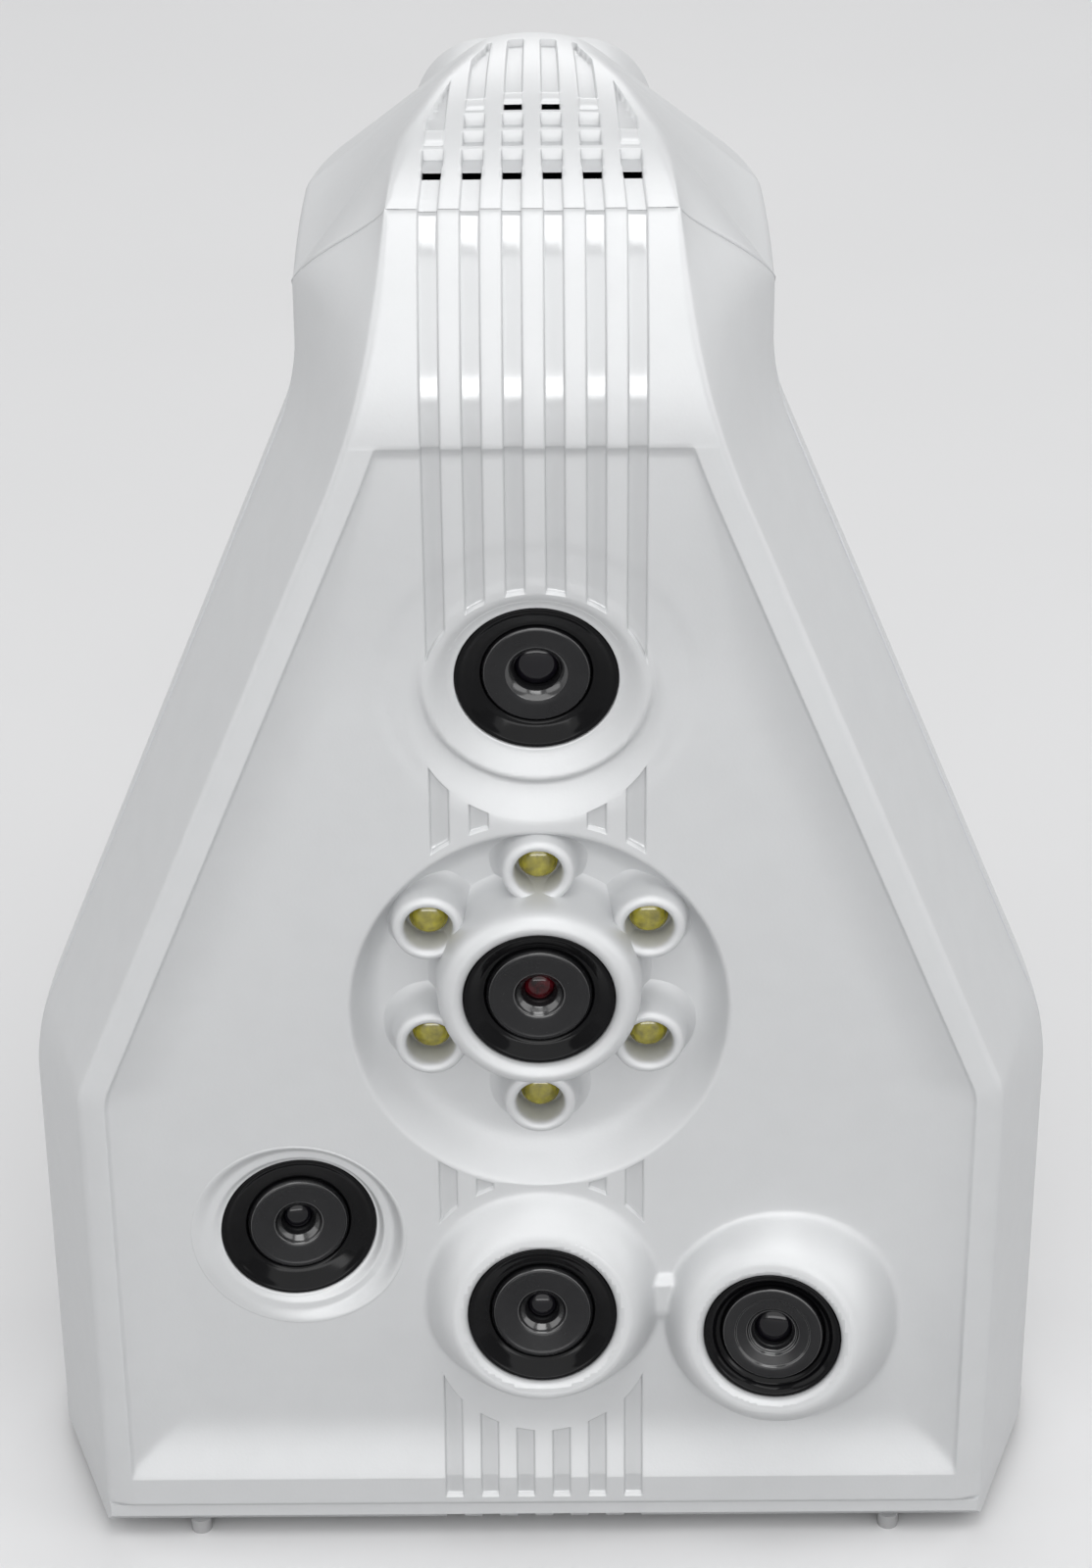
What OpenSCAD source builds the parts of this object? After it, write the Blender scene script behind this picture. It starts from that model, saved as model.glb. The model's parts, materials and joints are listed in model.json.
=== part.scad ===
// Hand-held structured-light scanner: a tapered optical head that stands on its base,
// with a grooved spine, a vented hood and a closed-loop handle behind the head.
// +Z is up, the lenses look along -Y, and the origin is under the middle of the footprint.
// Depths called u are measured backwards from the rim of the front face.

/* [Casing] */
// Greatest width, at the seam between the front and rear shells
body_w = 130; // [124:1:138]
// Height over the hood, from the surface it stands on
body_h = 191.6; // [188:0.2:198]
// Depth from the foremost lens dome to the back of the tail
body_d = 140; // [136:1:150]
// Width across the outer edge of the front face
front_w = 114; // [108:1:118]
// Width of the neck below the hood
neck_w = 56; // [54:1:62]
// Width of the grooved spine where it runs into the hood
spine_w = 32.4; // [30:0.2:35]
// Radius of the arch that turns the front face over into the hood
arch_r = 34.75; // [33:0.25:37]
// Lean of the flanks from the vertical, in degrees
flank_lean = 22.4; // [21:0.2:24]
// Height where the front edge starts to lean
front_corner_z = 69.7; // [64:0.1:74]
// Rounding of that corner
front_corner_r = 8; // [4:1:16]
// Height where the widest outline starts to lean
side_corner_z = 64.9; // [60:0.1:70]
// Rounding of that corner
side_corner_r = 30; // [16:1:40]
// Rounding from the leaning front edge into the spine
spine_blend_r = 98; // [80:1:110]
// Rounding from the leaning outline into the neck
neck_blend_r = 30; // [16:1:40]
// Depth of the front shell, from the rim to the seam
seam_u = 24; // [22:0.5:26]
// Depth from the rim to the flat back of the head
back_u = 58; // [56:0.5:64]
// Wall of the shells
wall = 2.4; // [2:0.1:3]
// Thickness of the front wall, from the rim to its inner face
front_wall = 7; // [6.6:0.1:8]
// Height of the feet
foot_h = 2; // [1.5:0.1:4]
// Thickness of the base plate
base_t = 4; // [3.5:0.1:6]
// Width of the gasket strip that shows in the seam
gasket_w = 1.2; // [0.8:0.1:2]

/* [Front panel] */
// Width of the rim round the recessed panel
rim_w = 3.4; // [2.6:0.1:5]
// Depth of the panel below the rim
panel_depth = 2; // [1:0.1:2.4]
// Height of the lip below the panel
lip_h = 4.5; // [3:0.1:8]
// Height of the ramp between the lip and the panel
ramp_h = 9.5; // [6:0.5:14]
// Number of grooves along the spine
groove_count = 6; // [4:2:6]
// Distance between groove centres
groove_pitch = 4.65; // [4:0.05:5]
// Width of a groove
groove_w = 2.3; // [1.6:0.1:2.8]
// Depth of a groove
groove_depth = 0.7; // [0.4:0.1:1]

/* [Lenses] */
// Height of the projector window
projector_z = 126; // [124:0.5:130]
// Tilt of the projector, downwards is negative
projector_tilt = -4.5; // [-8:0.5:0]
// Height of the texture camera
texture_z = 86; // [82:0.5:90]
// Height of the middle camera
middle_z = 38.6; // [36:0.2:44]
// Height of the right camera
right_z = 36.4; // [34:0.2:42]
// Distance of the right camera from the centre plane
right_x = 28.9; // [28:0.1:34]
// Height of the left camera
left_z = 48.2; // [46:0.1:54]
// Distance of the left camera from the centre plane
left_x = 30.6; // [28:0.1:36]
// Upward tilt of the middle and right cameras
camera_tilt = 9; // [4:0.5:12]
// Upward tilt of the left camera
left_tilt = 6; // [4:0.5:12]
// Inward turn of the left and right cameras
camera_pan = 7.3; // [3:0.1:10]
// Diameter of the lens barrels
barrel_d = 12.8; // [12:0.1:14]
// Diameter of the clear aperture in a barrel
aperture_d = 6.4; // [4:0.1:7]
// Thickness of the black bezels
bezel_t = 2; // [1.5:0.1:3]
// Side of the camera boards
board_side = 24; // [22:0.5:26]
// Side of the lens holders
holder_side = 17; // [16:0.5:19]
// Radius of the ring of flash lights
flash_ring_r = 15.3; // [14.8:0.1:17]
// Stretch of the lower half of that ring
flash_stretch = 1.14; // [1:0.01:1.2]
// Diameter of a flash light
flash_d = 4.7; // [4:0.1:5]
// Number of flash lights
flash_count = 6; // [4:1:6]

/* [Handle and tail] */
// Radius of the bend at the top of the handle
bend_r = 46; // [44:0.5:50]
// Height of the middle of the handle where it leaves the hood
grip_z = 169; // [167:0.5:171]
// Width of the handle
grip_w = 30; // [28:0.5:34]
// Thickness of the handle, front to back
grip_t = 26; // [24:0.5:30]
// Rounding of the handle
grip_round = 9; // [6:0.5:11]
// Wall of the handle shells
grip_wall = 2.2; // [1.8:0.1:3]
// Top of the tail
tail_z = 30; // [28:0.5:36]
// Width of the tail at the head
tail_front_w = 48; // [44:1:54]
// Width of the tail at its back
tail_back_w = 38; // [36:1:44]
// Length of the scan rocker
rocker_len = 23; // [18:0.5:24]
// Width of the scan rocker
rocker_w = 9.4; // [8:0.2:10]
// Tilt of the scan rocker each way, in degrees
rocker_tilt = 6; // [3:0.5:6]
// Diameter of the rocker's pin
pin_d = 2.5; // [2:0.1:3]
// Bore of the round power socket
power_bore_d = 9; // [7:0.5:9.5]
// Depth of the power socket
power_depth = 9; // [7:0.5:10]

/* [Inside] */
// Thickness of the printed circuit boards
board_t = 1.6; // [1:0.1:2]
// Thickness of the chassis plate
chassis_t = 2; // [1.5:0.1:3]
// Side of the square fan
fan_side = 25; // [20:0.5:26]
// Thickness of the fan
fan_t = 8; // [7:0.5:10]
// Diameter of the fan's shaft
fan_shaft_d = 1.5; // [1.2:0.1:2]
// Thread diameter of the casing screws
screw_d = 2.5; // [2:0.1:3]

/* [Clearances] */
// Play of a piece set into an opening
seat_play = 0.1; // [0.05:0.01:0.15]
// Play of a shaft in its bore, on the radius
run_play = 0.05; // [0.02:0.01:0.1]
// Room round a piece that moves
move_gap = 0.4; // [0.35:0.05:0.6]

/* [Hidden] */
$fn = 48;
eps = 0.01;
far = 300;
CAMERAS = ["projector", "texture_camera", "middle_camera", "right_camera", "left_camera"];
LENS_PIECES = ["bezel", "lens_barrel", "lens_glass", "holder", "board"];

shell_grey = [0.78, 0.785, 0.79];
lens_black = [0.05, 0.05, 0.055];

// The foremost dome stands this far in front of the rim
dome_reach = 7;
plate_y = dome_reach - body_d / 2;
base_top = foot_h + base_t;
arch_z = body_h - arch_r;
panel_bottom = base_top + lip_h;
front_neck_z = front_corner_z + (front_w - spine_w) / 2 / tan(flank_lean);
side_neck_z = side_corner_z + (body_w - neck_w) / 2 / tan(flank_lean);
tail_u = body_d - dome_reach;

// The hood starts at the crease, where the arch has turned through this angle
crease_angle = 45;
crease_u = arch_r * (1 - cos(crease_angle));
crease_z = arch_z + arch_r * sin(crease_angle);
hood_floor_z = arch_z + 3.2;

// The flanks of the hood: shoulder height at the seam, its rise and its lean inwards
shoulder_z = arch_z + 9.7;
shoulder_rise = 0.53;
shoulder_peak_u = 38;
roof_lean = 0.68;
ridge_half = 7;
ridge_u = 37;
slope_u = 46;

// Inset of the rear shell's outline from the seam outline, at depths up to the flat back
rear_steps = [[0, 0], [0.6, 0.35], [3.5, 0.7], [8.5, 0.925], [12, 1]];
function rear_u(step) = seam_u + step[1] * (back_u - seam_u);

// Half width of an outline that is upright below a corner and leans inwards above it
function knee(d, r) =
    let (t = r * tan(flank_lean / 2))
    d <= -t ? 0 : d >= t * cos(flank_lean) ? -d * tan(flank_lean) : sqrt(r * r - (d + t) * (d + t)) - r;
function half_front(z) =
    front_w / 2 + knee(z - front_corner_z, front_corner_r) - knee(z - front_neck_z, spine_blend_r);
function half_side(z) =
    body_w / 2 + knee(z - side_corner_z, side_corner_r) - knee(z - side_neck_z, neck_blend_r);
function half_seam(z) = half_side(z) - roof_lean * max(0, z - shoulder_z);
function arch_u(z, r) = z <= arch_z ? arch_r - r : arch_r - sqrt(max(0, r * r - pow(z - arch_z, 2)));
function ease(t) = t <= 0 ? 0 : t >= 1 ? 1 : t * t * (3 - 2 * t);

// Depth of the recessed panel, which fades out upwards and ramps forward at the lip
panel_fade = 30;
panel_top_depth = 0.9;
function panel_u(z) =
    z > arch_z - panel_fade
    ? panel_top_depth + (panel_depth - panel_top_depth) * max(0, arch_z - z) / panel_fade
    : panel_depth * ease((z - panel_bottom) / ramp_h);

// Top line of the hood, seen from the side: the arch, then a falling line to the back
hood_fall = 0.36;
function hood_top(u, r) =
    u < slope_u
    ? arch_z + sqrt(max(0, r * r - pow(arch_r - u, 2)))
    : hood_top(slope_u - eps, r) - hood_fall * (u - slope_u);
function ridge_w(u) =
    spine_w / 2 - (spine_w / 2 - ridge_half) * min(1, max(0, (u - crease_u) / (ridge_u - crease_u)));
function rear_inset(u) = lookup(u, [for (step = rear_steps) [rear_u(step), step[0]]]);
function hood_half(u) = neck_w / 2 - rear_inset(u);
function hood_shoulder(u) = shoulder_z + shoulder_rise * (min(u, shoulder_peak_u) - seam_u);

// Lens list: name, x, u of the bezel's face, z, tilt, pan, bezel radius
LENSES = [
    ["projector", 0, 3.5, projector_z, projector_tilt, 0, 9.6],
    ["texture_camera", 0, -3, texture_z, 0, 0, 9.15],
    ["middle_camera", 0, -2.5, middle_z, camera_tilt, 0, 9.35],
    ["right_camera", right_x, -4.3, right_z, camera_tilt, -camera_pan, 8.65],
    ["left_camera", -left_x, 3.4, left_z, left_tilt, camera_pan, 9.8]];
function bezel_r(lens) = lens[6];
PROJECTOR = LENSES[0];
TEXTURE = LENSES[1];
barrel_r = barrel_d / 2;
barrel_set_back = 0.8;
tunnel_len = 14;
tunnel_wall = 1.9;
holder_len = 10;
window_r = 5;
projector_len = 14;
lamp_len = 12;
lamp_front = tunnel_len + projector_len;
lamp_back = lamp_front + lamp_len;
function holder_end(lens) = tunnel_len + (lens[0] == "projector" ? projector_len : holder_len);
function board_front(lens) = lens[0] == "projector" ? lamp_back : holder_end(lens);

// Raised and sunken surrounds of the lenses
dome_lip = 0.7;
dome_rim = 1.5;
dome_spread = 6.6;
dome_drop = 8.6;
dome_root = 11;
bowl_r = 24.5;
bowl_floor_u = 4;
collar_r = 12.3;
collar_lip = 1.2;
cup_r = 4.45;
cup_bore_r = 2.9;
cup_u = 0.6;
flash_tip_u = 3.4;
recess_spread = 4.2;
recess_rise = 3.4;

// Circles that the grooves stop at: height, radius
GROOVE_STOPS = [[projector_z, 17], [texture_z - 3.6, 25.4], [middle_z - 2.6, 18.8]];

// Vent cells in the hood, in degrees of the arch, and the columns that have only the first row
VENT_ROWS = [[52, 56.6], [57.8, 61.4], [62.6, 66.6]];
vent_w = 2.7;

// Posts: x, z of the casing screws and of the chassis screws
post_r = 4;
casing_inset = 15;
casing_low = 10;
casing_high = 8;
CASING_POSTS = [
    for (s = [-1, 1], z = [base_top + casing_low, side_corner_z + casing_high])
    [s * (body_w / 2 - casing_inset), z]];
NECK_POSTS = [for (s = [-1, 1]) [s * (neck_w / 2 - 9.5), arch_z - 6.8]];
ALL_POSTS = concat(CASING_POSTS, NECK_POSTS);
function board_reach(lens) =
    lens[2] + (board_front(lens) + board_t) * cos(lens[4]) * cos(lens[5])
    + board_side / 2 * (sin(abs(lens[4])) + sin(abs(lens[5])));
chassis_u = max([for (i = [1:4]) board_reach(LENSES[i])]) + 0.6;
chassis_inset = 22;
chassis_lift = 6;
chassis_bottom = base_top + chassis_lift;
chassis_drop = 14;
chassis_top = projector_z - chassis_drop;
standoff_r = 2.5;
standoff_len = 4;
main_board_w = 76;
main_board_h = 68;
main_board_lift = 10;
main_board_bottom = base_top + main_board_lift;
main_board_top = main_board_bottom + main_board_h;
main_board_u = chassis_u + chassis_t + standoff_len;
standoff_side = 4;
standoff_x = main_board_w / 2 - standoff_side;
standoff_inset = 8;
chassis_post_r = 3.5;
chassis_post_inset = 5.5;
chassis_post_low = 4.5;
chassis_post_clear = 4.5;
chassis_post_high = 6;
function chassis_half(z) = half_side(z) - chassis_inset;
function chassis_post(s, z) = [s * (chassis_half(z) - chassis_post_inset), z];
// The middle pair stands clear above the main board, where a driver reaches its screws
chassis_post_z = [
    chassis_bottom + chassis_post_low,
    main_board_top + chassis_post_clear,
    chassis_top - chassis_post_high];
CHASSIS_POSTS = [for (s = [-1, 1], z = chassis_post_z) chassis_post(s, z)];
STANDOFFS = [
    for (s = [-1, 1], z = [main_board_bottom + standoff_inset, main_board_top - standoff_inset])
    [s * standoff_x, z]];
heat_sink_side = 24;
heat_sink_h = 10;
head_r = 2.7;
head_h = 2;
screw_r = screw_d / 2;
tap_r = screw_r + run_play;
pass_r = screw_r + 0.25;
head_room_r = head_r + 0.3;
head_seat_u = seam_u + 6;
thread_len = 10;

// Fan under the vents
fan_u = arch_r;
fan_top = body_h - 15.6;
fan_bottom = fan_top - fan_t;
fan_bore_r = fan_side / 2 - 0.8;
fan_hub_r = 5.5;
fan_floor = 1.2;
blade_count = 7;

// Handle and its controls
bend_z = grip_z - bend_r;
grip_u = back_u + bend_r;
rocker_angle = 45;
grip_outer_r = bend_r + grip_t / 2;
grip_inner_r = grip_outer_r - grip_wall;
rocker_crown = 1.6;
rocker_pivot_r = grip_inner_r - 4.8;
rocker_floor_r = grip_inner_r - 2.3;
stem_w = 4.4;
stem_d = 5.2;
stem_bottom_r = rocker_pivot_r - 5.2;
lug_w = 2;
lug_d = 1.6;
lug_mid_r = rocker_pivot_r - 3.8;
lug_h = 3.1;
bracket_t = 1.5;
bracket_r = rocker_pivot_r - 9;
bracket_half_w = 8;
bracket_post_r = 2.5;
ear_t = 2;
switch_w = 9;
switch_l = 8;
switch_h = 3.2;
slider_side = 3.2;
slider_h = 1.4;
rocker_h = grip_outer_r + rocker_crown - rocker_pivot_r;
slot_len = rocker_len + 2 * (rocker_h * sin(rocker_tilt) + move_gap);
slot_w = rocker_w + 2 * move_gap;
bracket_post_y = slot_len / 2 + bracket_post_r + 0.2;
bracket_half_len = bracket_post_y + bracket_post_r;
handle_boss_r = 3.4;
HANDLE_SCREW_Z = [tail_z + 14, (tail_z + bend_z) / 2, bend_z - 14];
light_r = 1.2;
light_pitch = 6;
light_z = bend_z - 6;
light_u = grip_u + grip_t / 2;

// Tail, connectors and feet
tail_round = 6;
cable_hole_r = 5;
cable_hole_z = base_top + 12;
socket_x = 8;
connector_z = base_top + 4;
connector_top = connector_z + board_t;
connector_gap = 3.6;
connector_len = 45.4;
connector_back_u = tail_u - connector_gap;
connector_front_u = connector_back_u - connector_len;
connector_half_w = 15;
connector_post = 4;
power_r = power_bore_d / 2 + 0.9;
power_z = connector_top + 5.4;
usb_w = 12;
usb_h = 10.8;
usb_len = 16;
usb_mouth = [8.45, 7.78];
usb_tongue = [5.6, 3.2];
front_foot_x = 45.3;
front_foot_u = 3.1;
front_foot_r = 1.35;
rear_foot_x = 14;
rear_foot_u = tail_u - 7;
rear_foot_r = 4;
base_front_u = 0.4;
base_chamfer = 2.2;
head_screw_x = 26;
head_screw_u = front_wall + 2.6;
tail_screw_inset = 9;
tail_screw_u = back_u + 10;
BASE_SCREWS = [
    for (s = [-1, 1]) [s * head_screw_x, head_screw_u],
    for (s = [-1, 1]) [s * (tail_front_w / 2 - tail_screw_inset), tail_screw_u]];
base_boss_r = 3.4;
base_boss_h = 10;

// Solid through a stack of rings with equal numbers of points, listed the same way round
module loft(rings) {
    n = len(rings[0]);
    m = len(rings);
    bottom = [for (i = [0:n - 1]) i];
    top = [for (i = [0:n - 1]) m * n - 1 - i];
    sides = [
        for (j = [0:m - 2], i = [0:n - 1])
        let (a = j * n + i, b = j * n + (i + 1) % n, c = b + n, d = a + n)
        each [[a, d, c], [a, c, b]]];
    polyhedron([for (ring = rings) each ring], concat([bottom, top], sides));
}

function steps(a, b, n) = [for (i = [0:n]) a + (b - a) * i / n];
function sorted(v) =
    len(v) < 2 ? v
    : concat(sorted([for (x = v) if (x < v[0]) x]), [v[0]], sorted([for (x = v) if (x > v[0]) x]));

// Heights at which the outlines bend, so that straight stretches take no extra rings
function bend_heights(z, r, n) =
    let (t = r * tan(flank_lean / 2))
    steps(z - t, z + t * cos(flank_lean), n);
front_bends = concat(
    bend_heights(front_corner_z, front_corner_r, 3), bend_heights(front_neck_z, spine_blend_r, 6));
side_bends = concat(
    bend_heights(side_corner_z, side_corner_r, 5), bend_heights(side_neck_z, neck_blend_r, 4));
low_bends = [for (z = concat(front_bends, side_bends)) if (z < arch_z) z];

// Places every piece in the frame of the whole object
module in_frame() {
    translate([0, plate_y, 0]) children();
}

// Rod along the depth direction, from depth u0 to u1
module rod(x, z, u0, u1, r) {
    translate([x, u0, z]) rotate([-90, 0, 0]) cylinder(h = u1 - u0, r = r);
}

// Lens frame: the origin is the middle of the bezel's face and +Z looks out
module at_lens(lens) {
    translate([lens[1], lens[2], lens[3]]) rotate([90 - lens[4], 0, lens[5]]) children();
}

// Round piece in a lens frame, between two depths behind the bezel's face
module behind(d0, d1, r) {
    translate([0, 0, -d1]) cylinder(h = d1 - d0, r = r);
}

// Square plate or block in a lens frame
module block_behind(d0, d1, side) {
    translate([-side / 2, -side / 2, -d1]) cube([side, side, d1 - d0]);
}

// Space of the hood: above the sloping seam at the crease and above its floor
module hood_zone() {
    intersection() {
        translate([-far / 2, -far / 2, hood_floor_z]) cube(far);
        translate([0, crease_u, crease_z]) rotate([-crease_angle, 0, 0])
            translate([-far / 2, -far / 2, 0]) cube(far);
    }
}

// Ring of the front shell at height z, inset from the outside, between two depths
function front_ring(z, inset, front, back) =
    let (
        f = max(0, half_front(z) - inset),
        s = max(0, half_seam(z) - inset),
        edge = f + (s - f) * (back - front) / max(eps, seam_u - front))
    [[-f, front, z], [f, front, z], [edge, back, z], [-edge, back, z]];

module front_outer() {
    arch = [for (a = [0:6:54]) arch_z + arch_r * sin(a)];
    heights = sorted(concat([base_top], low_bends, arch));
    loft([for (z = heights) front_ring(z, 0, arch_u(z, arch_r), seam_u)]);
}

module front_cavity() {
    r = arch_r - wall;
    arch = [for (a = [0:8:64]) arch_z + r * sin(a)];
    heights = sorted(concat([base_top - 1], low_bends, arch));
    loft([
        for (z = heights)
        let (front = max(arch_u(z, r), front_wall - max(0, z - arch_z)))
        front_ring(z, wall, front, seam_u + 1)]);
}

// Cut between two half widths that follows the panel's depth plus an extra depth
module panel_cut(x0, x1, z0, z1, extra, follow_rim) {
    ramp = steps(panel_bottom, panel_bottom + ramp_h, 6);
    bends = follow_rim ? [for (z = front_bends) if (z < arch_z) z] : [];
    heights = sorted(concat([z0], ramp, bends, [arch_z - panel_fade, z1]));
    loft([
        for (z = heights)
        let (
            l = follow_rim ? rim_w - half_front(z) : x0,
            r = follow_rim ? half_front(z) - rim_w : x1,
            u = panel_u(z) + extra)
        [[l, -far / 10, z], [r, -far / 10, z], [r, u, z], [l, u, z]]]);
}

function groove_x(i) = (i - (groove_count - 1) / 2) * groove_pitch;

// Grooves of the flat panel, stopped round the lenses
module panel_grooves() {
    difference() {
        for (i = [0:groove_count - 1])
            panel_cut(groove_x(i) - groove_w / 2, groove_x(i) + groove_w / 2, base_top + 1.4, arch_z + eps,
                groove_depth, false);
        for (stop = GROOVE_STOPS)
            rod(0, stop[0], -far / 5, far / 5, stop[1]);
    }
}

// Grooves over the arch, from the panel to beyond the top
module arch_grooves(last_angle) {
    intersection() {
        translate([0, arch_r, arch_z]) rotate([90, 0, -90]) translate([0, 0, -spine_w / 2])
            rotate_extrude(angle = last_angle) translate([arch_r - groove_depth, 0]) square([3, spine_w]);
        for (i = [0:groove_count - 1])
            translate([groove_x(i) - groove_w / 2, -far / 2, 0]) cube([groove_w, far, far]);
    }
}

// Bell-shaped surround that carries a lens in front of the panel
module dome(lens) {
    r0 = bezel_r(lens) + dome_rim;
    rise = [for (t = steps(0, 1, 14)) [r0 + dome_spread * t, dome_lip - dome_drop * (1 - cos(180 * t)) / 2]];
    at_lens(lens) rotate_extrude()
        polygon(concat([[0, -dome_root], [0, dome_lip]], rise, [[r0 + dome_spread, -dome_root]]));
}

// Sunken surround of a lens behind the panel's surface
module recess(lens) {
    r0 = bezel_r(lens) + 1.1;
    rise = [for (t = steps(0, 1, 8)) [r0 + recess_spread * t, recess_rise * ease(t) + 0.2]];
    at_lens(lens) rotate_extrude()
        polygon(concat([[0, 0.2]], rise, [[r0 + recess_spread, 20], [0, 20]]));
}

// Wide shallow dish round the texture camera, a slice of a large sphere
module texture_bowl() {
    depth = bowl_floor_u - panel_depth;
    r = (bowl_r * bowl_r + depth * depth) / (2 * depth);
    translate([0, bowl_floor_u - r, texture_z]) sphere(r);
}

function flash_angle(i) = 90 + 360 * i / flash_count;
function flash_rise(i) = flash_ring_r * sin(flash_angle(i)) * (sin(flash_angle(i)) < 0 ? flash_stretch : 1);

// Places a copy at each flash light
module at_flashes() {
    for (i = [0:flash_count - 1])
        translate([flash_ring_r * cos(flash_angle(i)), 0, texture_z + flash_rise(i)])
            children();
}

module front_shell() {
    color(shell_grey) difference() {
        union() {
            difference() {
                front_outer();
                front_cavity();
                hood_zone();
                panel_cut(0, 0, panel_bottom, arch_z, 0, true);
                panel_grooves();
                arch_grooves(crease_angle + 5);
                texture_bowl();
                recess(PROJECTOR);
                recess(LENSES[4]);
            }
            dome(LENSES[2]);
            dome(LENSES[3]);
            rod(0, texture_z, TEXTURE[2] - collar_lip, bowl_floor_u + 1, collar_r);
            at_flashes() rod(0, 0, cup_u, bowl_floor_u + 1, cup_r);
            for (lens = LENSES)
                at_lens(lens) behind(2.5, tunnel_len, bezel_r(lens) + tunnel_wall);
            for (post = ALL_POSTS)
                rod(post[0], post[1], front_wall - 1, seam_u, post_r);
            for (post = CHASSIS_POSTS)
                rod(post[0], post[1], front_wall - 1, chassis_u, chassis_post_r);
            for (i = [0, 1])
                translate([BASE_SCREWS[i][0], BASE_SCREWS[i][1], base_top])
                    cylinder(h = base_boss_h, r = base_boss_r);
        }
        for (lens = LENSES)
            at_lens(lens) {
                behind(-12, bezel_t, bezel_r(lens) + seat_play);
                behind(bezel_t - 1, tunnel_len + 1, barrel_r + seat_play);
            }
        at_flashes() rod(0, 0, -far / 10, front_wall + 1, cup_bore_r);
        for (post = ALL_POSTS)
            rod(post[0], post[1], seam_u - thread_len, seam_u + 1, tap_r);
        for (post = CHASSIS_POSTS)
            rod(post[0], post[1], chassis_u - thread_len, chassis_u + 1, tap_r);
        for (i = [0, 1])
            translate([BASE_SCREWS[i][0], BASE_SCREWS[i][1], base_top - 1])
                cylinder(h = base_boss_h, r = tap_r);
    }
}

// Ring of the rear shell at height z, inset from the outside
function rear_ring(z, inset) =
    let (
        right = [
            for (step = rear_steps)
            [half_side(z) - step[0] - inset, rear_u(step) - inset * step[1], z]],
        n = len(right))
    concat(right, [for (i = [n - 1:-1:0]) [-right[i][0], right[i][1], z]]);

module rear_outer() {
    loft([for (z = sorted(concat([base_top], side_bends, [shoulder_z + 1]))) rear_ring(z, 0)]);
}

module rear_cavity() {
    loft([for (z = sorted(concat([base_top - 1], side_bends, [shoulder_z + 2]))) rear_ring(z, wall)]);
}

module rear_shell() {
    color(shell_grey) difference() {
        union() {
            difference() {
                rear_outer();
                rear_cavity();
                hood_zone();
                translate([-far / 2, seam_u - 1, 0]) cube([far, gasket_w + 1, far]);
            }
            intersection() {
                rear_outer();
                for (post = ALL_POSTS)
                    rod(post[0], post[1], seam_u, back_u, post_r);
            }
        }
        for (post = ALL_POSTS) {
            rod(post[0], post[1], seam_u - 1, head_seat_u + 1, pass_r);
            rod(post[0], post[1], head_seat_u, back_u + 1, head_room_r);
        }
        rod(0, cable_hole_z, back_u - 5, back_u + 1, cable_hole_r);
    }
}

// Ring of the hood at depth u, as thick as the given inset from the outside
function hood_ring(u, inset) =
    let (
        top = hood_top(u, arch_r - inset),
        w = ridge_w(u) - inset / 4,
        s = hood_half(u) - inset,
        sz = hood_shoulder(u) - inset / 2,
        right = [[w * 0.55, u, top - 0.1], [w, u, top - 0.9], [s, u, sz], [s, u, arch_z - 6]],
        n = len(right))
    concat([for (i = [n - 1:-1:0]) [-right[i][0], u, right[i][2]]], right);

module hood_outer() {
    depths = concat(steps(crease_u - 1, seam_u, 8), steps(seam_u + 2, back_u, 10));
    loft([for (u = depths) hood_ring(u, 0)]);
}

module hood_cavity() {
    depths = concat(steps(crease_u - 2, seam_u, 8), steps(seam_u + 2, back_u - wall, 10));
    loft([for (u = depths) hood_ring(u, wall)]);
}

// Vent cells, one row on the outer columns and three on the others
module vents() {
    for (i = [0:groove_count - 1], row = [0:len(VENT_ROWS) - 1])
        if (row == 0 || (i > 0 && i < groove_count - 1)) {
            a0 = VENT_ROWS[row][0];
            a1 = VENT_ROWS[row][1];
            translate([groove_x(i) - vent_w / 2, arch_r, arch_z]) rotate([90 - (a0 + a1) / 2, 0, 0])
                translate([0, -arch_r * sin((a1 - a0) / 2), arch_r - 2 * wall])
                cube([vent_w, 2 * arch_r * sin((a1 - a0) / 2), 3 * wall]);
        }
}

module top_hood() {
    color(shell_grey) difference() {
        intersection() {
            hood_zone();
            union() {
                difference() {
                    hood_outer();
                    hood_cavity();
                }
                intersection() {
                    hood_outer();
                    for (x = [-1, 1], y = [-1, 1])
                        translate([x * (fan_side / 2 - 2.5), fan_u + y * (fan_side / 2 - 2.5), fan_top])
                            cylinder(h = far / 10, r = 2);
                }
            }
        }
        arch_grooves(100);
        vents();
    }
}

// Outline of the handle: x is the distance outwards from its middle line
module grip_outline(inset) {
    r = grip_round - inset;
    a = grip_t / 2 - inset;
    b = grip_w / 2 - inset;
    square([2 * (a - r), 2 * b], center = true);
    square([2 * a, 2 * (b - r)], center = true);
    for (x = [-1, 1], y = [-1, 1])
        translate([x * (a - r), y * (b - r)]) circle(r);
}

// Half of the handle's wall: side 1 is the rear shell and side -1 is the front cover
module grip_half(side) {
    difference() {
        grip_outline(0);
        grip_outline(grip_wall);
        translate([side > 0 ? -far : 0, -far / 2]) square(far);
    }
}

// Runs an outline along the bend and down to the tail
module along_grip() {
    translate([0, back_u, bend_z]) rotate([0, -90, 0]) rotate_extrude(angle = 90)
        translate([bend_r, 0]) children();
    translate([0, grip_u, tail_z]) linear_extrude(bend_z - tail_z) rotate(90) children();
}

// Frame of the rocker: +Z is outwards from the centre of the bend, +Y runs down the handle
module at_rocker() {
    translate([0, back_u, bend_z]) rotate([-rocker_angle, 0, 0]) children();
}

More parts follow.
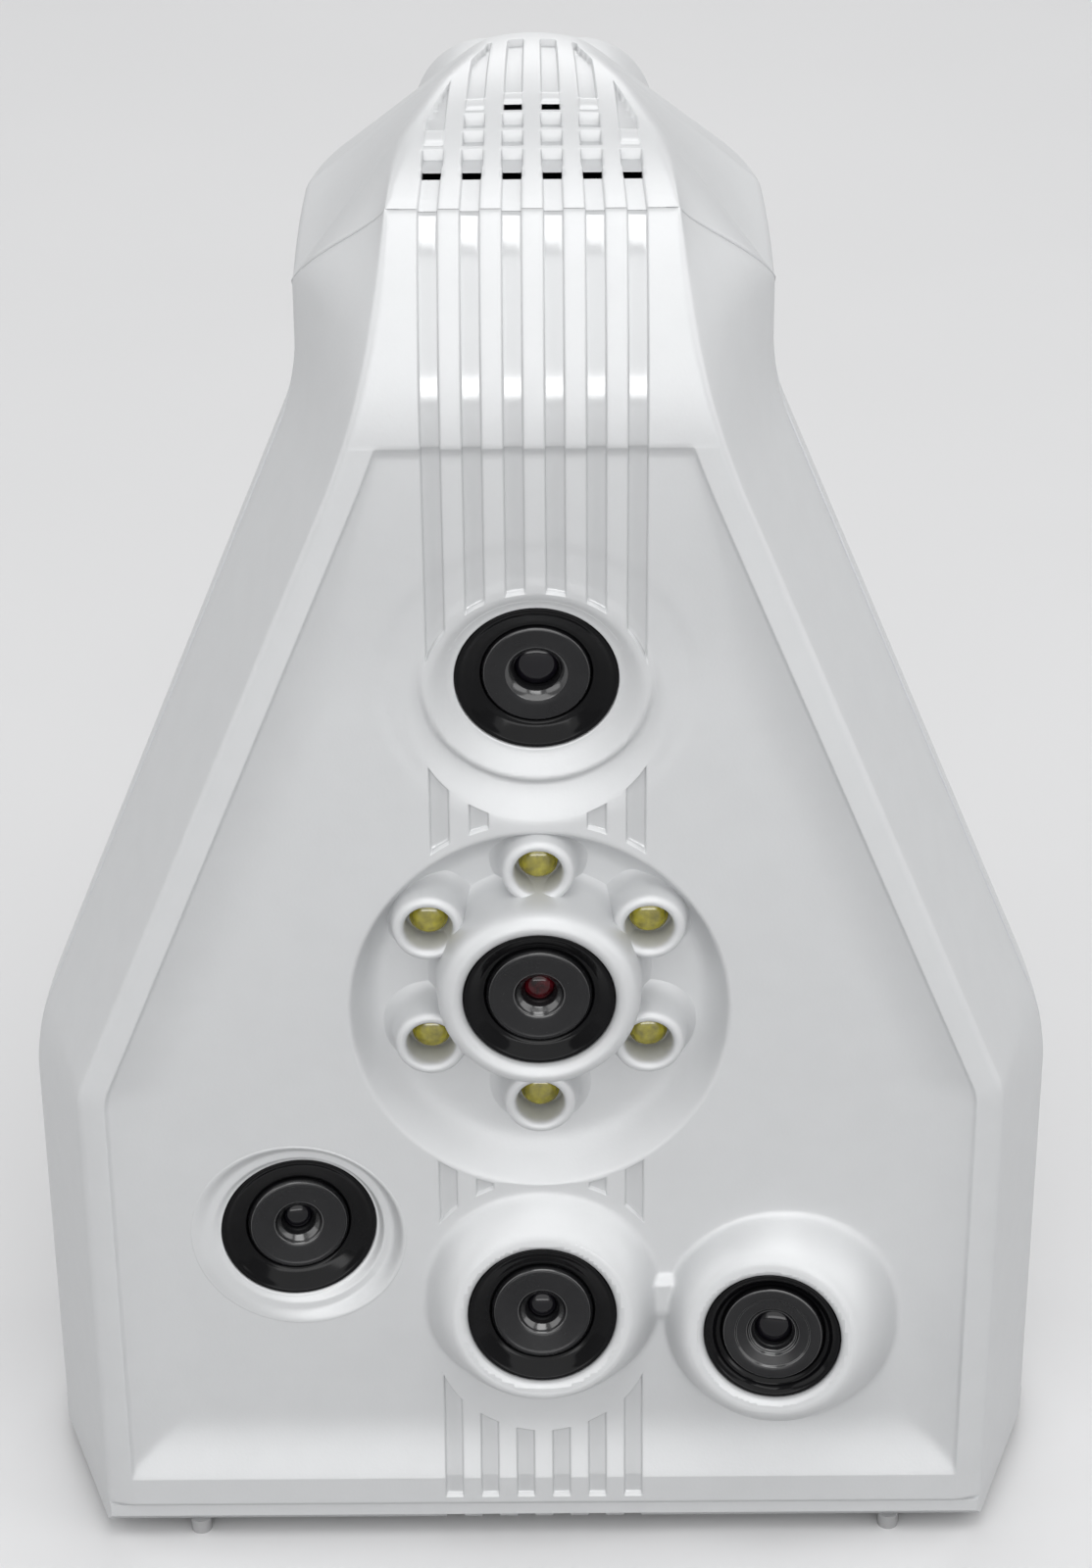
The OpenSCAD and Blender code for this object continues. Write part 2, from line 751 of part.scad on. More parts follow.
module handle_rear_shell() {
    color(shell_grey) difference() {
        union() {
            along_grip() grip_half(1);
            for (z = HANDLE_SCREW_Z)
                rod(0, z, grip_u, grip_u + grip_t / 2 - grip_wall / 2, handle_boss_r);
            at_rocker() for (s = [-1, 1])
                translate([0, s * bracket_post_y, bracket_r])
                    cylinder(h = sqrt(pow(grip_inner_r + 1, 2) - pow(bracket_post_y, 2)) - bracket_r,
                        r = bracket_post_r);
        }
        for (z = HANDLE_SCREW_Z)
            rod(0, z, grip_u - 1, grip_u + thread_len - 1, tap_r);
        at_rocker() translate([-slot_w / 2, -slot_len / 2, grip_inner_r - 4])
            cube([slot_w, slot_len, 3 * grip_wall + 4]);
        for (i = [-1:1])
            rod(i * light_pitch, light_z, grip_u + 1, grip_u + grip_t, light_r + run_play);
    }
}

module handle_front_cover() {
    color(shell_grey) difference() {
        union() {
            along_grip() grip_half(-1);
            for (z = HANDLE_SCREW_Z)
                rod(0, z, grip_u - grip_t / 2 + grip_wall / 2, grip_u, handle_boss_r);
        }
        for (z = HANDLE_SCREW_Z) {
            rod(0, z, grip_u - grip_t / 2 + 2, grip_u + 1, pass_r);
            rod(0, z, grip_u - grip_t, grip_u - grip_t / 2 + 4, head_room_r);
        }
    }
}

// Plan of the tail, inset from the outside
module tail_plan(inset) {
    a = tail_front_w / 2 - inset;
    b = tail_back_w / 2 - inset;
    r = tail_round - inset;
    corner = [for (t = [0:10:90]) [b - r + r * cos(t), tail_u - inset - r + r * sin(t)]];
    right = concat([[a, back_u + inset]], corner);
    n = len(right);
    polygon(concat(right, [for (i = [n - 1:-1:0]) [-right[i][0], right[i][1]]]));
}

module tail_shell() {
    color(shell_grey) difference() {
        union() {
            difference() {
                translate([0, 0, base_top]) linear_extrude(tail_z - base_top) tail_plan(0);
                translate([0, 0, base_top - 1]) linear_extrude(tail_z - base_top + 1 - wall) tail_plan(wall);
            }
            for (i = [2, 3])
                translate([BASE_SCREWS[i][0], BASE_SCREWS[i][1], base_top])
                    cylinder(h = tail_z - base_top - wall / 2, r = base_boss_r);
        }
        translate([0, grip_u, tail_z - 2 * wall]) cylinder(h = 3 * wall, r = cable_hole_r);
        rod(0, cable_hole_z, back_u - 1, back_u + 2 * wall, cable_hole_r);
        rod(-socket_x, power_z, tail_u - 2 * wall, tail_u + 1, power_r + seat_play);
        translate([socket_x - usb_w / 2 - seat_play, tail_u - 2 * wall, connector_top - seat_play])
            cube([usb_w + 2 * seat_play, 3 * wall, usb_h + 2 * seat_play]);
        for (i = [2, 3])
            translate([BASE_SCREWS[i][0], BASE_SCREWS[i][1], base_top - 1])
                cylinder(h = base_boss_h, r = tap_r);
    }
}

module base_plate() {
    right = concat([[front_w / 2 - 0.3, base_front_u]],
        [for (step = rear_steps) [body_w / 2 - step[0], rear_u(step)]]);
    n = len(right);
    color(shell_grey) difference() {
        union() {
            difference() {
                translate([0, 0, foot_h]) linear_extrude(base_t) {
                    polygon(concat(right, [for (i = [n - 1:-1:0]) [-right[i][0], right[i][1]]]));
                    tail_plan(0);
                }
                translate([0, base_front_u, foot_h]) rotate([45, 0, 0])
                    cube([far, base_chamfer * sqrt(2), base_chamfer * sqrt(2)], center = true);
                for (i = [0:groove_count - 1])
                    translate([groove_x(i) - groove_w / 2, -1, 0]) cube([groove_w, 5, foot_h + base_t / 2]);
            }
            for (x = [-1, 1], u = [connector_front_u + connector_post, connector_back_u - connector_post])
                translate([x * (connector_half_w - connector_post), u, base_top])
                    cylinder(h = connector_z - base_top, r = standoff_r);
        }
        for (screw = BASE_SCREWS)
            translate([screw[0], screw[1], 0]) {
                cylinder(h = base_top + 1, r = pass_r);
                cylinder(h = foot_h + head_h + 0.2, r = head_room_r);
            }
    }
}

module feet() {
    color([0.35, 0.35, 0.36]) for (s = [-1, 1]) {
        translate([s * front_foot_x, front_foot_u, 0]) cylinder(h = foot_h, r = front_foot_r);
        translate([s * rear_foot_x, rear_foot_u, 0]) cylinder(h = foot_h, r = rear_foot_r);
    }
}

// Strip in the seam on one side: side is -1 on the left and 1 on the right
module seam_gasket(side) {
    heights = sorted(concat([base_top], side_bends, [shoulder_z + 1]));
    outer = [for (z = heights) [side * half_side(z), z]];
    inner = [for (i = [len(heights) - 1:-1:0]) [side * (half_side(heights[i]) - wall * 0.9), heights[i]]];
    color([0.27, 0.28, 0.55]) difference() {
        translate([0, seam_u + gasket_w, 0]) rotate([90, 0, 0]) linear_extrude(gasket_w)
            polygon(concat(outer, inner));
        hood_zone();
    }
}

module lens_bezel(lens) {
    color(lens_black) at_lens(lens) difference() {
        behind(0, bezel_t, bezel_r(lens));
        behind(-1, bezel_t + 1, barrel_r + seat_play);
    }
}

module lens_barrel(lens) {
    glass_seat = barrel_set_back + 3.4;
    back = holder_end(lens) - 2;
    color(lens_black) at_lens(lens) difference() {
        behind(barrel_set_back, back, barrel_r);
        behind(0, glass_seat, aperture_d / 2);
        behind(glass_seat - 1, back + 1, aperture_d / 2 - 0.6);
    }
}

module lens_glass(lens) {
    glass_back = barrel_set_back + 3.4;
    color([0.25, 0.28, 0.33]) at_lens(lens) behind(glass_back - 1.6, glass_back, aperture_d / 2 - run_play);
}

module lens_holder(lens) {
    color(lens_black) at_lens(lens) difference() {
        block_behind(tunnel_len, holder_end(lens), holder_side);
        behind(tunnel_len - 1, holder_end(lens) - 1.5, barrel_r + run_play);
        behind(holder_end(lens) - 2, holder_end(lens) + 1, window_r);
    }
}

// Board with its image sensor, or with the lamp on the projector
module lens_board(lens) {
    front = board_front(lens);
    chip = [7, 6, 0.9];
    color([0.05, 0.3, 0.15]) at_lens(lens) {
        block_behind(front, front + board_t, board_side);
        translate([-chip[0] / 2, -chip[1] / 2, -front - eps]) cube(chip);
    }
}

module lens_piece(lens, piece) {
    if (piece == "bezel") lens_bezel(lens);
    if (piece == "lens_barrel") lens_barrel(lens);
    if (piece == "lens_glass") lens_glass(lens);
    if (piece == "holder") lens_holder(lens);
    if (piece == "board") lens_board(lens);
}

slide_side = 14;
slide_t = 1;

module pattern_slide() {
    color([0.5, 0.6, 0.65]) at_lens(PROJECTOR) block_behind(lamp_front, lamp_front + slide_t, slide_side);
}

module lamp_housing() {
    color([0.62, 0.63, 0.65]) at_lens(PROJECTOR) difference() {
        block_behind(lamp_front, lamp_back, holder_side);
        block_behind(lamp_front - 1, lamp_front + slide_t, slide_side + 2 * seat_play);
        behind(lamp_front, lamp_back + 1, barrel_r + run_play);
    }
}

module condenser_lens() {
    bulge = 12;
    half_t = 2.4;
    mid = (lamp_front + slide_t + lamp_back) / 2;
    color([0.7, 0.78, 0.8]) at_lens(PROJECTOR) intersection() {
        behind(mid - half_t, mid + half_t, barrel_r);
        translate([0, 0, -mid + bulge - half_t]) sphere(bulge);
        translate([0, 0, -mid - bulge + half_t]) sphere(bulge);
    }
}

module lamp_heat_sink() {
    fins = 6;
    front = lamp_back + board_t;
    depth = back_u - wall - PROJECTOR[2] - front - 2.6;
    fin_t = 1.5;
    fin_pitch = (board_side - fin_t) / (fins - 1);
    color([0.7, 0.71, 0.73]) at_lens(PROJECTOR) {
        block_behind(front, front + 2, board_side);
        for (i = [0:fins - 1])
            translate([i * fin_pitch - board_side / 2, -board_side / 2, -front - depth])
                cube([fin_t, board_side, depth - 1]);
    }
}

module flash_leds() {
    color([0.8, 0.75, 0.25]) at_flashes() {
        rod(0, 0, flash_tip_u + 0.8, front_wall, flash_d / 2);
        rod(0, 0, flash_tip_u, flash_tip_u + 1, flash_d / 2 - 0.5);
    }
}

module flash_board() {
    hole_r = bezel_r(TEXTURE) + tunnel_wall + 0.4;
    color([0.05, 0.3, 0.15]) difference() {
        hull() at_flashes() rod(0, 0, front_wall, front_wall + board_t, cup_r);
        rod(0, texture_z, front_wall - 1, front_wall + board_t + 1, hole_r);
    }
}

module chassis_plate() {
    heights = steps(chassis_bottom, chassis_top, 12);
    right = [for (z = heights) [chassis_half(z), z]];
    left = [for (i = [len(right) - 1:-1:0]) [-right[i][0], right[i][1]]];
    color([0.7, 0.71, 0.73]) difference() {
        union() {
            translate([0, chassis_u + chassis_t, 0]) rotate([90, 0, 0]) linear_extrude(chassis_t)
                polygon(concat(right, left));
            for (post = STANDOFFS)
                rod(post[0], post[1], chassis_u + chassis_t - eps, main_board_u, standoff_r);
        }
        for (post = CHASSIS_POSTS)
            rod(post[0], post[1], chassis_u - 1, chassis_u + chassis_t + 1, pass_r);
    }
}

module chassis_screws() {
    color([0.6, 0.6, 0.62]) for (post = CHASSIS_POSTS) {
        rod(post[0], post[1], chassis_u + chassis_t, chassis_u + chassis_t + head_h, head_r - 0.4);
        rod(post[0], post[1], chassis_u - thread_len + 1, chassis_u + chassis_t + eps, screw_r);
    }
}

module main_board() {
    socket = [12, 6, 5];
    socket_pitch = 20;
    socket_rise = 6;
    color([0.05, 0.3, 0.15]) {
        translate([-main_board_w / 2, main_board_u, main_board_bottom])
            cube([main_board_w, board_t, main_board_h]);
        for (i = [-1:1])
            translate([i * socket_pitch - socket[0] / 2, main_board_u + board_t - eps,
                main_board_bottom + socket_rise])
                cube(socket);
    }
}

module processor_heat_sink() {
    fins = 6;
    fin_t = 1.6;
    u = main_board_u + board_t;
    z = (main_board_bottom + main_board_top) / 2;
    color([0.2, 0.2, 0.21]) translate([-heat_sink_side / 2, u, z]) {
        cube([heat_sink_side, 2.5, heat_sink_side]);
        for (i = [0:fins - 1])
            translate([i * (heat_sink_side - fin_t) / (fins - 1), 0, 0])
                cube([fin_t, heat_sink_h, heat_sink_side]);
    }
}

module fan_frame() {
    color([0.08, 0.08, 0.09]) translate([0, fan_u, fan_bottom]) {
        difference() {
            translate([-fan_side / 2, -fan_side / 2, 0]) cube([fan_side, fan_side, fan_t]);
            translate([0, 0, -1]) cylinder(h = fan_t + 2, r = fan_bore_r);
        }
        cylinder(h = fan_floor, r = fan_hub_r);
        for (i = [0:2])
            rotate(120 * i) translate([0, -1, 0]) cube([fan_bore_r + 0.4, 2, fan_floor]);
        cylinder(h = fan_t - 1.4, r = fan_shaft_d / 2);
    }
}

module fan_rotor() {
    gap = fan_floor + move_gap;
    hub_h = fan_t - 0.8 - gap;
    blade_r = fan_bore_r - move_gap - 0.2;
    color([0.12, 0.12, 0.13]) translate([0, fan_u, fan_bottom + gap]) difference() {
        union() {
            cylinder(h = hub_h, r = fan_hub_r);
            intersection() {
                cylinder(h = hub_h, r = blade_r);
                for (i = [0:blade_count - 1])
                    rotate(360 * i / blade_count) translate([fan_hub_r - 0.5, 0, hub_h / 2])
                        rotate([40, 0, 0]) translate([0, -0.4, -hub_h / 2]) cube([far / 20, 0.8, hub_h]);
            }
        }
        translate([0, 0, -1]) cylinder(h = fan_t - 1.4 - gap + 1 + move_gap, r = fan_shaft_d / 2 + run_play);
    }
}

// Rod across the handle, in the rocker's frame
module cross_rod(z, half_len, r) {
    translate([-half_len, 0, z]) rotate([0, 90, 0]) cylinder(h = 2 * half_len, r = r);
}

module scan_rocker() {
    notch = lug_d + 2 * (move_gap - 0.05);
    color([0.3, 0.31, 0.33]) at_rocker() difference() {
        union() {
            intersection() {
                translate([-rocker_w / 2, -rocker_len / 2, rocker_floor_r])
                    cube([rocker_w, rocker_len, far / 20]);
                cross_rod(0, rocker_w, grip_outer_r + rocker_crown);
            }
            translate([-stem_w / 2, -stem_d / 2, stem_bottom_r])
                cube([stem_w, stem_d, rocker_floor_r - stem_bottom_r + 1]);
        }
        cross_rod(rocker_pivot_r, rocker_w, pin_d / 2 + run_play);
        translate([-stem_w, -notch / 2, stem_bottom_r - 1])
            cube([2 * stem_w, notch, lug_mid_r + lug_h / 2 + move_gap - stem_bottom_r + 1]);
    }
}

module rocker_pin() {
    color([0.7, 0.7, 0.72]) at_rocker() cross_rod(rocker_pivot_r, bracket_half_w, pin_d / 2);
}

module rocker_bracket() {
    ear_x = slot_w / 2 + 0.3;
    color([0.15, 0.15, 0.16]) at_rocker() difference() {
        union() {
            translate([-bracket_half_w, -bracket_half_len, bracket_r - bracket_t])
                cube([2 * bracket_half_w, 2 * bracket_half_len, bracket_t]);
            for (s = [-1, 1])
                translate([s * (ear_x + ear_t / 2) - ear_t / 2, -3, bracket_r - eps])
                    cube([ear_t, 6, rocker_pivot_r - bracket_r + 3]);
        }
        cross_rod(rocker_pivot_r, bracket_half_w + 1, pin_d / 2 + 0.02);
    }
}

module switch_body() {
    slot = [slider_side + 2 * move_gap, slider_side + 4 * move_gap];
    color([0.1, 0.1, 0.11]) at_rocker() difference() {
        translate([-switch_w / 2, -switch_l / 2, bracket_r]) cube([switch_w, switch_l, switch_h]);
        translate([-slot[0] / 2, -slot[1] / 2, bracket_r + switch_h - slider_h]) cube([slot[0], slot[1], 5]);
    }
}

module switch_slider() {
    bottom = bracket_r + switch_h - slider_h + 0.3;
    color([0.85, 0.85, 0.83]) at_rocker() {
        translate([-slider_side / 2, -slider_side / 2, bottom]) cube([slider_side, slider_side, slider_h]);
        translate([-lug_w / 2, -lug_d / 2, bottom]) cube([lug_w, lug_d, lug_mid_r + lug_h / 2 - bottom]);
    }
}

module status_lights() {
    color([0.6, 0.85, 0.65]) for (i = [-1:1])
        rod(i * light_pitch, light_z, light_u - grip_wall - 0.6, light_u + 0.3, light_r);
}

module connector_board() {
    color([0.05, 0.3, 0.15]) translate([-connector_half_w, connector_front_u, connector_z])
        cube([2 * connector_half_w, connector_len, board_t]);
}

module power_socket() {
    front = tail_u - 14;
    color([0.16, 0.16, 0.17]) difference() {
        union() {
            rod(-socket_x, power_z, front, tail_u + 0.2, power_r);
            translate([-socket_x - power_r, front, connector_top])
                cube([2 * power_r, 9, power_z - connector_top]);
        }
        rod(-socket_x, power_z, tail_u + 0.2 - power_depth, tail_u + 1, power_bore_d / 2);
    }
}

module usb_socket() {
    back = tail_u + 0.2;
    z = connector_top + usb_h / 2;
    color([0.68, 0.69, 0.71]) difference() {
        translate([socket_x - usb_w / 2, back - usb_len, connector_top]) cube([usb_w, usb_len, usb_h]);
        difference() {
            translate([socket_x - usb_mouth[0] / 2, back - 9, z - usb_mouth[1] / 2])
                cube([usb_mouth[0], 10, usb_mouth[1]]);
            translate([socket_x - usb_tongue[0] / 2, back - 10, z - usb_tongue[1] / 2])
                cube([usb_tongue[0], 9, usb_tongue[1]]);
        }
    }
}

module casing_screws() {
    color([0.6, 0.6, 0.62]) for (post = ALL_POSTS) {
        rod(post[0], post[1], head_seat_u, head_seat_u + head_h, head_r);
        rod(post[0], post[1], seam_u - thread_len + 1, head_seat_u + eps, screw_r);
    }
}

module handle_screws() {
    seat = grip_u - grip_t / 2 + 4;
    color([0.6, 0.6, 0.62]) for (z = HANDLE_SCREW_Z) {
        rod(0, z, seat - head_h, seat, head_r);
        rod(0, z, seat - eps, grip_u + thread_len - 2, screw_r);
    }
}

module base_screws() {
    color([0.6, 0.6, 0.62]) for (screw = BASE_SCREWS)
        translate([screw[0], screw[1], foot_h + 0.2]) {
            cylinder(h = head_h, r = head_r);
            cylinder(h = base_t + base_boss_h - 3, r = screw_r);
        }
}

module lens_nodes() {
    for (lens = LENSES, piece = LENS_PIECES)
        lens_piece(lens, piece);
}

in_frame() {
    front_shell();
    rear_shell();
    top_hood();
    handle_rear_shell();
    handle_front_cover();
    tail_shell();
    base_plate();
    feet();
    seam_gasket(-1);  // seam_gasket_left
    seam_gasket(1);  // seam_gasket_right
    lens_nodes();
    pattern_slide();
    condenser_lens();
    lamp_housing();
    lamp_heat_sink();
    flash_leds();
    flash_board();
    chassis_plate();
    chassis_screws();
    main_board();
    processor_heat_sink();
    fan_frame();
    fan_rotor();
    scan_rocker();
    rocker_pin();
    rocker_bracket();
    switch_body();
    switch_slider();
    status_lights();
    connector_board();
    power_socket();
    usb_socket();
    casing_screws();
    handle_screws();
    base_screws();
}
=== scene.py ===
import json
import math

import bmesh
import bpy
import numpy as np
from mathutils import Matrix, Vector


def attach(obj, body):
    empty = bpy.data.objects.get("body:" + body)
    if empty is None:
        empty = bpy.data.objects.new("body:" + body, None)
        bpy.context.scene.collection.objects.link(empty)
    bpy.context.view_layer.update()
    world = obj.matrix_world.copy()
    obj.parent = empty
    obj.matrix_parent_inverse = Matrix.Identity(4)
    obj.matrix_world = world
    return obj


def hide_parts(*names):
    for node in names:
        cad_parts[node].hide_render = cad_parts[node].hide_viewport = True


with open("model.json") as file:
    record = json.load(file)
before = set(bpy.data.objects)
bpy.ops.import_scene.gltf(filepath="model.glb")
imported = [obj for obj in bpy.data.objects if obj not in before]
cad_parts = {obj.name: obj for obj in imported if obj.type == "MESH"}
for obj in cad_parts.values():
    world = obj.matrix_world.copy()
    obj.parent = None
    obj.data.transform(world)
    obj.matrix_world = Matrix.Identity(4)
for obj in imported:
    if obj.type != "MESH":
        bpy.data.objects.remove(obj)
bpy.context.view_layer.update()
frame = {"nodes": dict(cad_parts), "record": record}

# Sizes in millimetres. u is the depth behind the rim of the front face, z the height above the floor,
# and v the way up the rim: z as far as the arch, then along its arc.
PLATE_Y = -63.0
BODY_W, FRONT_W, NECK_W, SPINE_W = 130.0, 114.0, 56.0, 32.4
BODY_H, ARCH_R = 191.6, 34.75
ARCH_Z = BODY_H - ARCH_R
LEAN = math.radians(22.4)
FRONT_CORNER_Z, FRONT_CORNER_R = 69.7, 8.0
SIDE_CORNER_Z, SIDE_CORNER_R = 64.9, 30.0
SPINE_BLEND_R, NECK_BLEND_R = 98.0, 30.0
FRONT_NECK_Z = FRONT_CORNER_Z + (FRONT_W - SPINE_W) / 2 / math.tan(LEAN)
SIDE_NECK_Z = SIDE_CORNER_Z + (BODY_W - NECK_W) / 2 / math.tan(LEAN)
SEAM_U, SEAM_DRAW = 24.0, 0.051
BACK_U, BACK_CORNER = 58.0, 12.0
BASE_TOP = 6.0
# The hood ends in a plane at 45 degrees through the crease, where u + z is CUT_SUM
CREASE = math.radians(45)
CREASE_V = ARCH_Z + ARCH_R * CREASE
CUT_SUM = ARCH_R * (1 - math.cos(CREASE)) + (ARCH_Z + ARCH_R * math.sin(CREASE))
HOOD_FLOOR_Z = ARCH_Z + 3.2
SHOULDER_Z, SHOULDER_RISE, SHOULDER_PEAK_U = ARCH_Z + 9.7, 0.53, 38.0
SLOPE_U, HOOD_FALL = 46.0, 0.36
RIM_W, RIM_FALL = 3.4, 0.9
PANEL_BOTTOM, RAMP_H = 10.5, 9.5
PANEL_SIDE, PANEL_DEEP, PANEL_SPREAD = 0.35, 2.35, 9.0
GROOVES, GROOVE_PITCH, GROOVE_HALF, GROOVE_DEPTH = 3, 4.65, 1.15, 0.7
GROOVE_X = [GROOVE_PITCH * (i + 0.5) for i in range(GROOVES)]
TINY = 1e-6
DEPTH_ROUNDS = 6


class Lens:
    """Frame of a lens: the middle of the bezel's face, with the normal looking out."""

    def __init__(self, name, x, u, z, tilt, pan, bezel_r):
        t, p = math.radians(tilt), math.radians(pan)
        self.name, self.bezel_r = name, bezel_r
        self.c = np.array([x, u, z])
        self.ax = np.array([math.cos(p), math.sin(p), 0.0])
        self.ay = np.array([-math.sin(p) * math.sin(t), math.cos(p) * math.sin(t), math.cos(t)])
        self.n = np.array([math.sin(p) * math.cos(t), -math.cos(p) * math.cos(t), math.sin(t)])

    def point(self, a, b, f):
        """Points a to the right of the middle, b above it and f in front of it."""
        p = self.c + np.multiply.outer(a, self.ax)
        return p + np.multiply.outer(b, self.ay) + np.multiply.outer(f, self.n)

    def depth(self, x, z, profile):
        """Depth u and radius, over points of the panel, of a surface round the lens axis.

        The profile gets the radius and how far up the point lies, from -1 to 1."""
        f = np.zeros_like(x)
        for _ in range(DEPTH_ROUNDS):
            b = (z - self.c[2] - f * self.n[2]) / self.ay[2]
            a = (x - self.c[0] - b * self.ay[0] - f * self.n[0]) / self.ax[0]
            r = np.hypot(a, b)
            f = profile(r, b / np.maximum(r, TINY))
        return self.c[1] + a * self.ax[1] + b * self.ay[1] + f * self.n[1], r


PROJECTOR = Lens("projector", 0, 3.5, 126, -4.5, 0, 9.6)
TEXTURE = Lens("texture_camera", 0, -3, 86, 0, 0, 9.15)
MIDDLE = Lens("middle_camera", 0, -2.5, 38.6, 9, 0, 9.35)
RIGHT = Lens("right_camera", 28.9, -4.3, 36.4, 9, -7.3, 8.65)
LEFT = Lens("left_camera", -30.6, 4.0, 47.8, 5, 7.3, 9.8)
LENSES = [PROJECTOR, TEXTURE, MIDDLE, RIGHT, LEFT]
FLASH_RING_R, FLASH_COUNT, FLASH_STRETCH = 15.3, 6, 1.14


def flash_place(i):
    """Place of a flash light on its ring, whose lower half is stretched."""
    a = math.radians(90 + 360 * i / FLASH_COUNT)
    rise = FLASH_RING_R * math.sin(a)
    return FLASH_RING_R * math.cos(a), TEXTURE.c[2] + rise * (FLASH_STRETCH if rise < 0 else 1)


FLASHES = [flash_place(i) for i in range(FLASH_COUNT)]


def ease(t):
    t = np.clip(t, 0, 1)
    return t * t * (3 - 2 * t)


def soft_max(a, b, k):
    return 0.5 * (a + b + np.sqrt((a - b) ** 2 + k * k))


def soft_min(a, b, k):
    return 0.5 * (a + b - np.sqrt((a - b) ** 2 + k * k))


def bezier(p, q, r, t):
    """Point at the share t of a curve from p to r that heads for q."""
    return (1 - t) ** 2 * p + 2 * t * (1 - t) * q + t * t * r


def steps(n):
    """Shares of a stretch in n equal steps, without its start."""
    return np.linspace(0, 1, n + 1)[1:]


def round_angles(n):
    return np.linspace(0, 2 * math.pi, n, endpoint=False)


def knee(d, r):
    """Offset of an upright side that leans in above d = 0, with the bend rounded to radius r."""
    t = r * math.tan(LEAN / 2)
    arc = np.sqrt(np.maximum(0, r * r - (d + t) ** 2)) - r
    return np.where(d <= -t, 0, np.where(d >= t * math.cos(LEAN), -d * math.tan(LEAN), arc))


def half_front(z):
    return FRONT_W / 2 + knee(z - FRONT_CORNER_Z, FRONT_CORNER_R) - knee(z - FRONT_NECK_Z, SPINE_BLEND_R)


def half_side(z):
    return BODY_W / 2 + knee(z - SIDE_CORNER_Z, SIDE_CORNER_R) - knee(z - SIDE_NECK_Z, NECK_BLEND_R)


def half_seam(z):
    """Half width at the seam, which draws in under the hood."""
    return half_side(z) - SEAM_DRAW * np.maximum(0, z - CUT_SUM + SEAM_U) ** 2


# Mesh helpers

MERGE_M, SLIVER_M = 3e-6, 1e-6
LENS_SEGMENTS = 96
ROUND_POINTS, ROUND_SHARE = 4, 0.45


def to_row(p):
    """Points (x, u, z) in millimetres to the row frame in metres."""
    p = np.asarray(p, float)
    return (p + np.array([0, PLATE_Y, 0])) / 1000


def add_object(name, data):
    obj = bpy.data.objects.new(name, data)
    bpy.context.scene.collection.objects.link(obj)
    return obj


def make_object(name, verts, faces, material, body="casing", second=None, marked=None):
    """Piece of the scene: a mesh in metres that rides a body. Marked faces take the second material."""
    mesh = bpy.data.meshes.new(name)
    mesh.from_pydata([tuple(v) for v in to_row(verts)], [], faces)
    mesh.polygons.foreach_set("use_smooth", [True] * len(mesh.polygons))
    if marked is not None:
        mesh.polygons.foreach_set("material_index", [int(m) for m in marked])
    bm = bmesh.new()
    bm.from_mesh(mesh)
    bmesh.ops.remove_doubles(bm, verts=bm.verts, dist=MERGE_M)
    bmesh.ops.dissolve_degenerate(bm, dist=SLIVER_M, edges=bm.edges)
    bm.to_mesh(mesh)
    bm.free()
    mesh.materials.append(material)
    if second is not None:
        mesh.materials.append(second)
    obj = add_object(name, mesh)
    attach(obj, body)
    return obj


def grid_faces(rows, cols, keep=None):
    i = np.arange(rows * cols).reshape(rows, cols)
    quads = np.stack([i[:-1, :-1], i[:-1, 1:], i[1:, 1:], i[1:, :-1]], -1)
    if keep is not None:
        return quads[keep].tolist()
    return quads.reshape(-1, 4).tolist()


def ring_faces(rings, segments):
    """Faces between closed rings of points, each joined to the next."""
    i = np.arange(rings * segments).reshape(rings, segments)
    j = np.roll(i, -1, axis=1)
    return np.stack([i[:-1], i[1:], j[1:], j[:-1]], -1).reshape(-1, 4).tolist()


def cell_corners(a):
    """Values of a grid at the four corners of each of its cells."""
    return np.stack([a[:-1, :-1], a[1:, 1:], a[:-1, 1:], a[1:, :-1]])


def both_sides(half, width):
    """Columns of the right half, mirrored about the first one and filled up with zeros to the width."""
    full = np.concatenate([half[..., :0:-1], half], -1)
    pad = (width - full.shape[-1]) // 2
    return np.pad(full, [(0, 0)] * (full.ndim - 1) + [(pad, pad)])


class Build:
    """Collects vertices and faces of several surfaces in one mesh."""

    def __init__(self):
        self.verts, self.faces = [], []

    def add(self, verts, faces):
        start = len(self.verts)
        self.verts.extend(np.asarray(verts).reshape(-1, 3).tolist())
        self.faces.extend([[i + start for i in f] for f in faces])

    def revolve(self, lens, profile, centre=(0.0, 0.0), segments=LENS_SEGMENTS):
        """Surface of revolution through points (radius, height above the bezel's face), from the axis out."""
        angle = round_angles(segments)
        prof = np.array(profile, float)
        a = centre[0] + np.outer(prof[:, 0], np.cos(angle))
        b = centre[1] + np.outer(prof[:, 0], np.sin(angle))
        f = np.repeat(prof[:, 1][:, None], segments, 1)
        self.add(lens.point(a, b, f), ring_faces(len(prof), segments))


def rounded(points, radius):
    """Polyline with its inner corners rounded."""
    out = [points[0]]
    for a, b, c in zip(points, points[1:], points[2:]):
        a, b, c = (np.array(v, float) for v in (a, b, c))
        la, lc = np.linalg.norm(a - b), np.linalg.norm(c - b)
        t = min(radius, la * ROUND_SHARE, lc * ROUND_SHARE)
        p, q = b + (a - b) / la * t, b + (c - b) / lc * t
        out += [tuple(bezier(p, b, q, s)) for s in np.linspace(0, 1, ROUND_POINTS)]
    out.append(points[-1])
    return out


# Materials

DRIFT_DETAIL, SPECK_DETAIL, SPECK_SCALE = 3, 2, 2600.0
DRIFT_BAND = (0.3, 0.7)
BUMP_M = 0.00004


